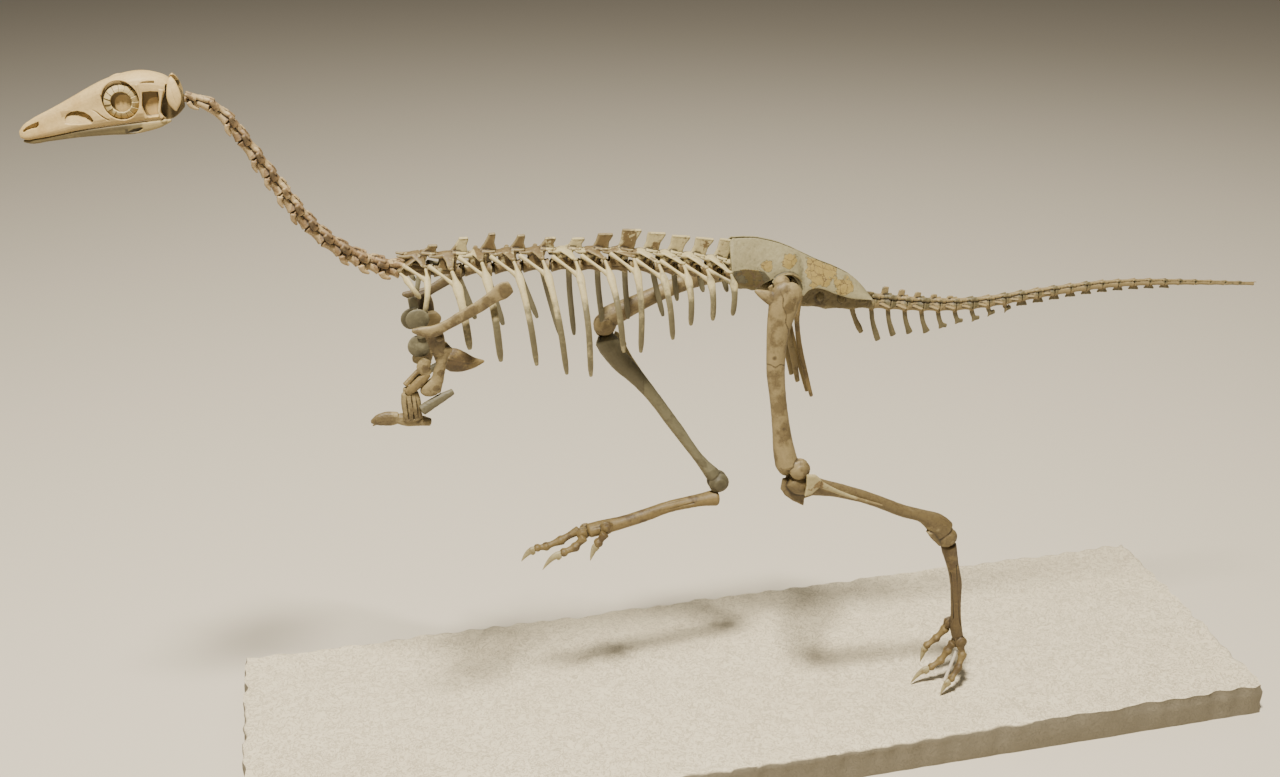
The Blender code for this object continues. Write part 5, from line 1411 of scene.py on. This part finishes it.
# %% Points of the slab
SLAB_LENGTH, SLAB_DEPTH, SLAB_HEIGHT = 862.0, 250.0, 28.0
SLAB_CENTRE_X, SLANT = 39.0, 15.0          # the left end slants back
CELLS_ALONG, CELLS_DEEP = 260, 90
WEAR = 12                                  # how far in from an edge the breaking reaches
TOP, RIPPLE = 27.6, 0.28
LEVELS = (
    # height of a ring, how far in it lies and how rough it is
    (0, 0.8, 0.4), (4, 0.3, 0.8), (10, 0.8, 1.4), (16, 0.5, 1.8), (21, 1.0, 2.0), (25, 1.4, 2.4),
    (27.4, 2.4, 2.6))
wave_rng = random.Random(5)
WAVES = [(wave_rng.uniform(0.02, 0.30), wave_rng.uniform(0, 6.3), wave_rng.uniform(0.2, 0.9)) for _ in range(14)]


def wander(t):
    return sum(size * math.sin(rate * t + start) for rate, start, size in WAVES) / 3


def slab_point(u, v, inset, rough):
    """A point of one level, u along and v across from 0 to 1."""
    left, right = SLAB_CENTRE_X - SLAB_LENGTH / 2 + 1, SLAB_CENTRE_X + SLAB_LENGTH / 2 - 1
    front, back = -SLAB_DEPTH / 2 + 0.8, SLAB_DEPTH / 2 - 0.8
    x = left + (right - left - SLANT * (1 - v)) * u
    y = front + (back - front) * v
    near_x, near_y = min(u, 1 - u) * SLAB_LENGTH, min(v, 1 - v) * SLAB_DEPTH
    pull_x = (inset + rough * wander(y + 90 * (u > 0.5))) * max(0, 1 - near_x / WEAR)
    pull_y = (inset + rough * wander(x + 40 * (v > 0.5))) * max(0, 1 - near_y / WEAR)
    return x + math.copysign(max(pull_x, 0), 0.5 - u), y + math.copysign(max(pull_y, 0), 0.5 - v)


def slab_sides():
    """The border's cells, and the skin over the rings with no lid on top."""
    along, deep = range(CELLS_ALONG), range(CELLS_DEEP)
    border = ([(i / CELLS_ALONG, 0) for i in along] + [(1, j / CELLS_DEEP) for j in deep]
              + [(1 - i / CELLS_ALONG, 1) for i in along] + [(0, 1 - j / CELLS_DEEP) for j in deep])
    points, faces = skin([[(*slab_point(u, v, inset + (0.7 * math.sin(z + 9 * (u + v)) if z else 0), rough), z)
                           for u, v in border] for z, inset, rough in LEVELS])
    return border, [tuple(p) for p in points], faces[:-1]


def slab_skin():
    """The sides and, on top of them, a grid lifted by a soft ripple."""
    border, points, faces = slab_sides()
    first = (len(LEVELS) - 1) * len(border)
    grid = {(round(u * CELLS_ALONG), round(v * CELLS_DEEP)): first + k for k, (u, v) in enumerate(border)}
    for i in range(1, CELLS_ALONG):
        for j in range(1, CELLS_DEEP):
            x, y = slab_point(i / CELLS_ALONG, j / CELLS_DEEP, *LEVELS[-1][1:])
            grid[i, j] = len(points)
            points.append((x, y, TOP + RIPPLE * math.sin(0.05 * x + 2 * math.sin(0.03 * y)) * math.sin(0.07 * y)))
    faces += [(grid[i, j], grid[i + 1, j], grid[i + 1, j + 1], grid[i, j + 1])
              for i in range(CELLS_ALONG) for j in range(CELLS_DEEP)]
    return np.array(points), faces


print("broken edges wander by up to", round(max(wander(t) for t in range(900)), 1), "times their roughness")

# %% Slab and pin
def slab():
    """Coarse grit moves every point but those on the floor, and the edges stay sharp."""
    obj = to_object("stand_slab", [slab_skin()])
    clouds = bpy.data.textures.new("slab_grit", "CLOUDS")
    clouds.noise_scale, clouds.noise_depth = 9 * MM, 3
    grit = obj.modifiers.new("grit", "DISPLACE")
    grit.texture, grit.strength, grit.mid_level = clouds, 1.0 * MM, 0.75
    above = obj.vertex_groups.new(name="above_floor")
    above.add([v.index for v in obj.data.vertices if v.co.z > 0.001], 1.0, "REPLACE")
    grit.vertex_group = above.name
    settle(obj)
    obj.data.shade_smooth()
    obj.data.set_sharp_from_angle(angle=math.radians(60))
    obj.data.materials.append(PLASTER)
    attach(obj, "root")
    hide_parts("stand_slab")
    print("slab faces:", len(obj.data.polygons))


def pin():
    """The thin steel rod that carries the weight behind the standing foot."""
    foot, top = (190.5, -22.5, SLAB_HEIGHT + 0.6), (197.5, -25.0, 59.0)
    rod = shaft([(*foot, 1.3, 1.3), (*top, 1.3, 1.3)], 20, steps=4, dome=0.1)
    bone("stand_pin", [rod], PIN_PAINT, voxel=0.3, pitted=0)


slab()
pin()

# %% [markdown]
# ## Floor, light and camera
# A plain pale floor, one broad lamp high up in front, a softer one behind, and a pale sky light
# give the soft light of a gallery. The camera is a 40 mm lens at a little over a metre.

# %% Floor and lights
def floor():
    mesh = bpy.data.meshes.new("floor")
    size = 6.0          # metres to each side
    mesh.from_pydata([(-size, -size, 0), (size, -size, 0), (size, size, 0),
                      (-size, size, 0)], [], [(0, 1, 2, 3)])
    obj = bpy.data.objects.new("floor", mesh)
    bpy.context.scene.collection.objects.link(obj)
    mat = bpy.data.materials.new("pale_floor")
    mat.use_nodes = True
    shader = mat.node_tree.nodes["Principled BSDF"]
    shader.inputs["Base Color"].default_value = srgb("#D3CAB8")
    shader.inputs["Roughness"].default_value = 0.9
    mesh.materials.append(mat)


def lamp(name, place, aim, size, power, colour):
    """A square lamp of `size` metres and `power` watts."""
    light = bpy.data.lights.new(name, "AREA")
    light.size, light.energy, light.color = size, power, srgb(colour)[:3]
    obj = bpy.data.objects.new(name, light)
    obj.location = place
    obj.rotation_euler = (Vector(aim) - Vector(place)).to_track_quat("-Z", "Y").to_euler()
    bpy.context.scene.collection.objects.link(obj)


floor()
lamp("ceiling_lamp", (-0.50, -0.85, 2.50), (0, 0, 0.3), 0.3, 172, "#FFF8EA")
lamp("back_lamp", (0.9, 1.3, 1.9), (0, 0, 0.3), 1.6, 9, "#F4F1EC")
world = bpy.data.worlds.new("soft_room")
bpy.context.scene.world = world
world.use_nodes = True
world.node_tree.nodes["Background"].inputs["Color"].default_value = srgb("#E6DED0")
world.node_tree.nodes["Background"].inputs["Strength"].default_value = 0.13

# %% Camera
lens = bpy.data.cameras.new("camera")
lens.lens, lens.sensor_width = 40, 36
camera = bpy.data.objects.new("camera", lens)
camera.location = (-0.3015, -0.97885, 0.738)
camera.rotation_euler = (math.radians(66.66), 0, math.radians(-13.65))
bpy.context.scene.collection.objects.link(camera)
bpy.context.scene.camera = camera
print(f"camera {camera.location.z:.2f} m up, {lens.lens:.0f} mm lens")

# %% Sizes and the end
print("faces in all:", sum(len(o.data.polygons) for o in MADE))
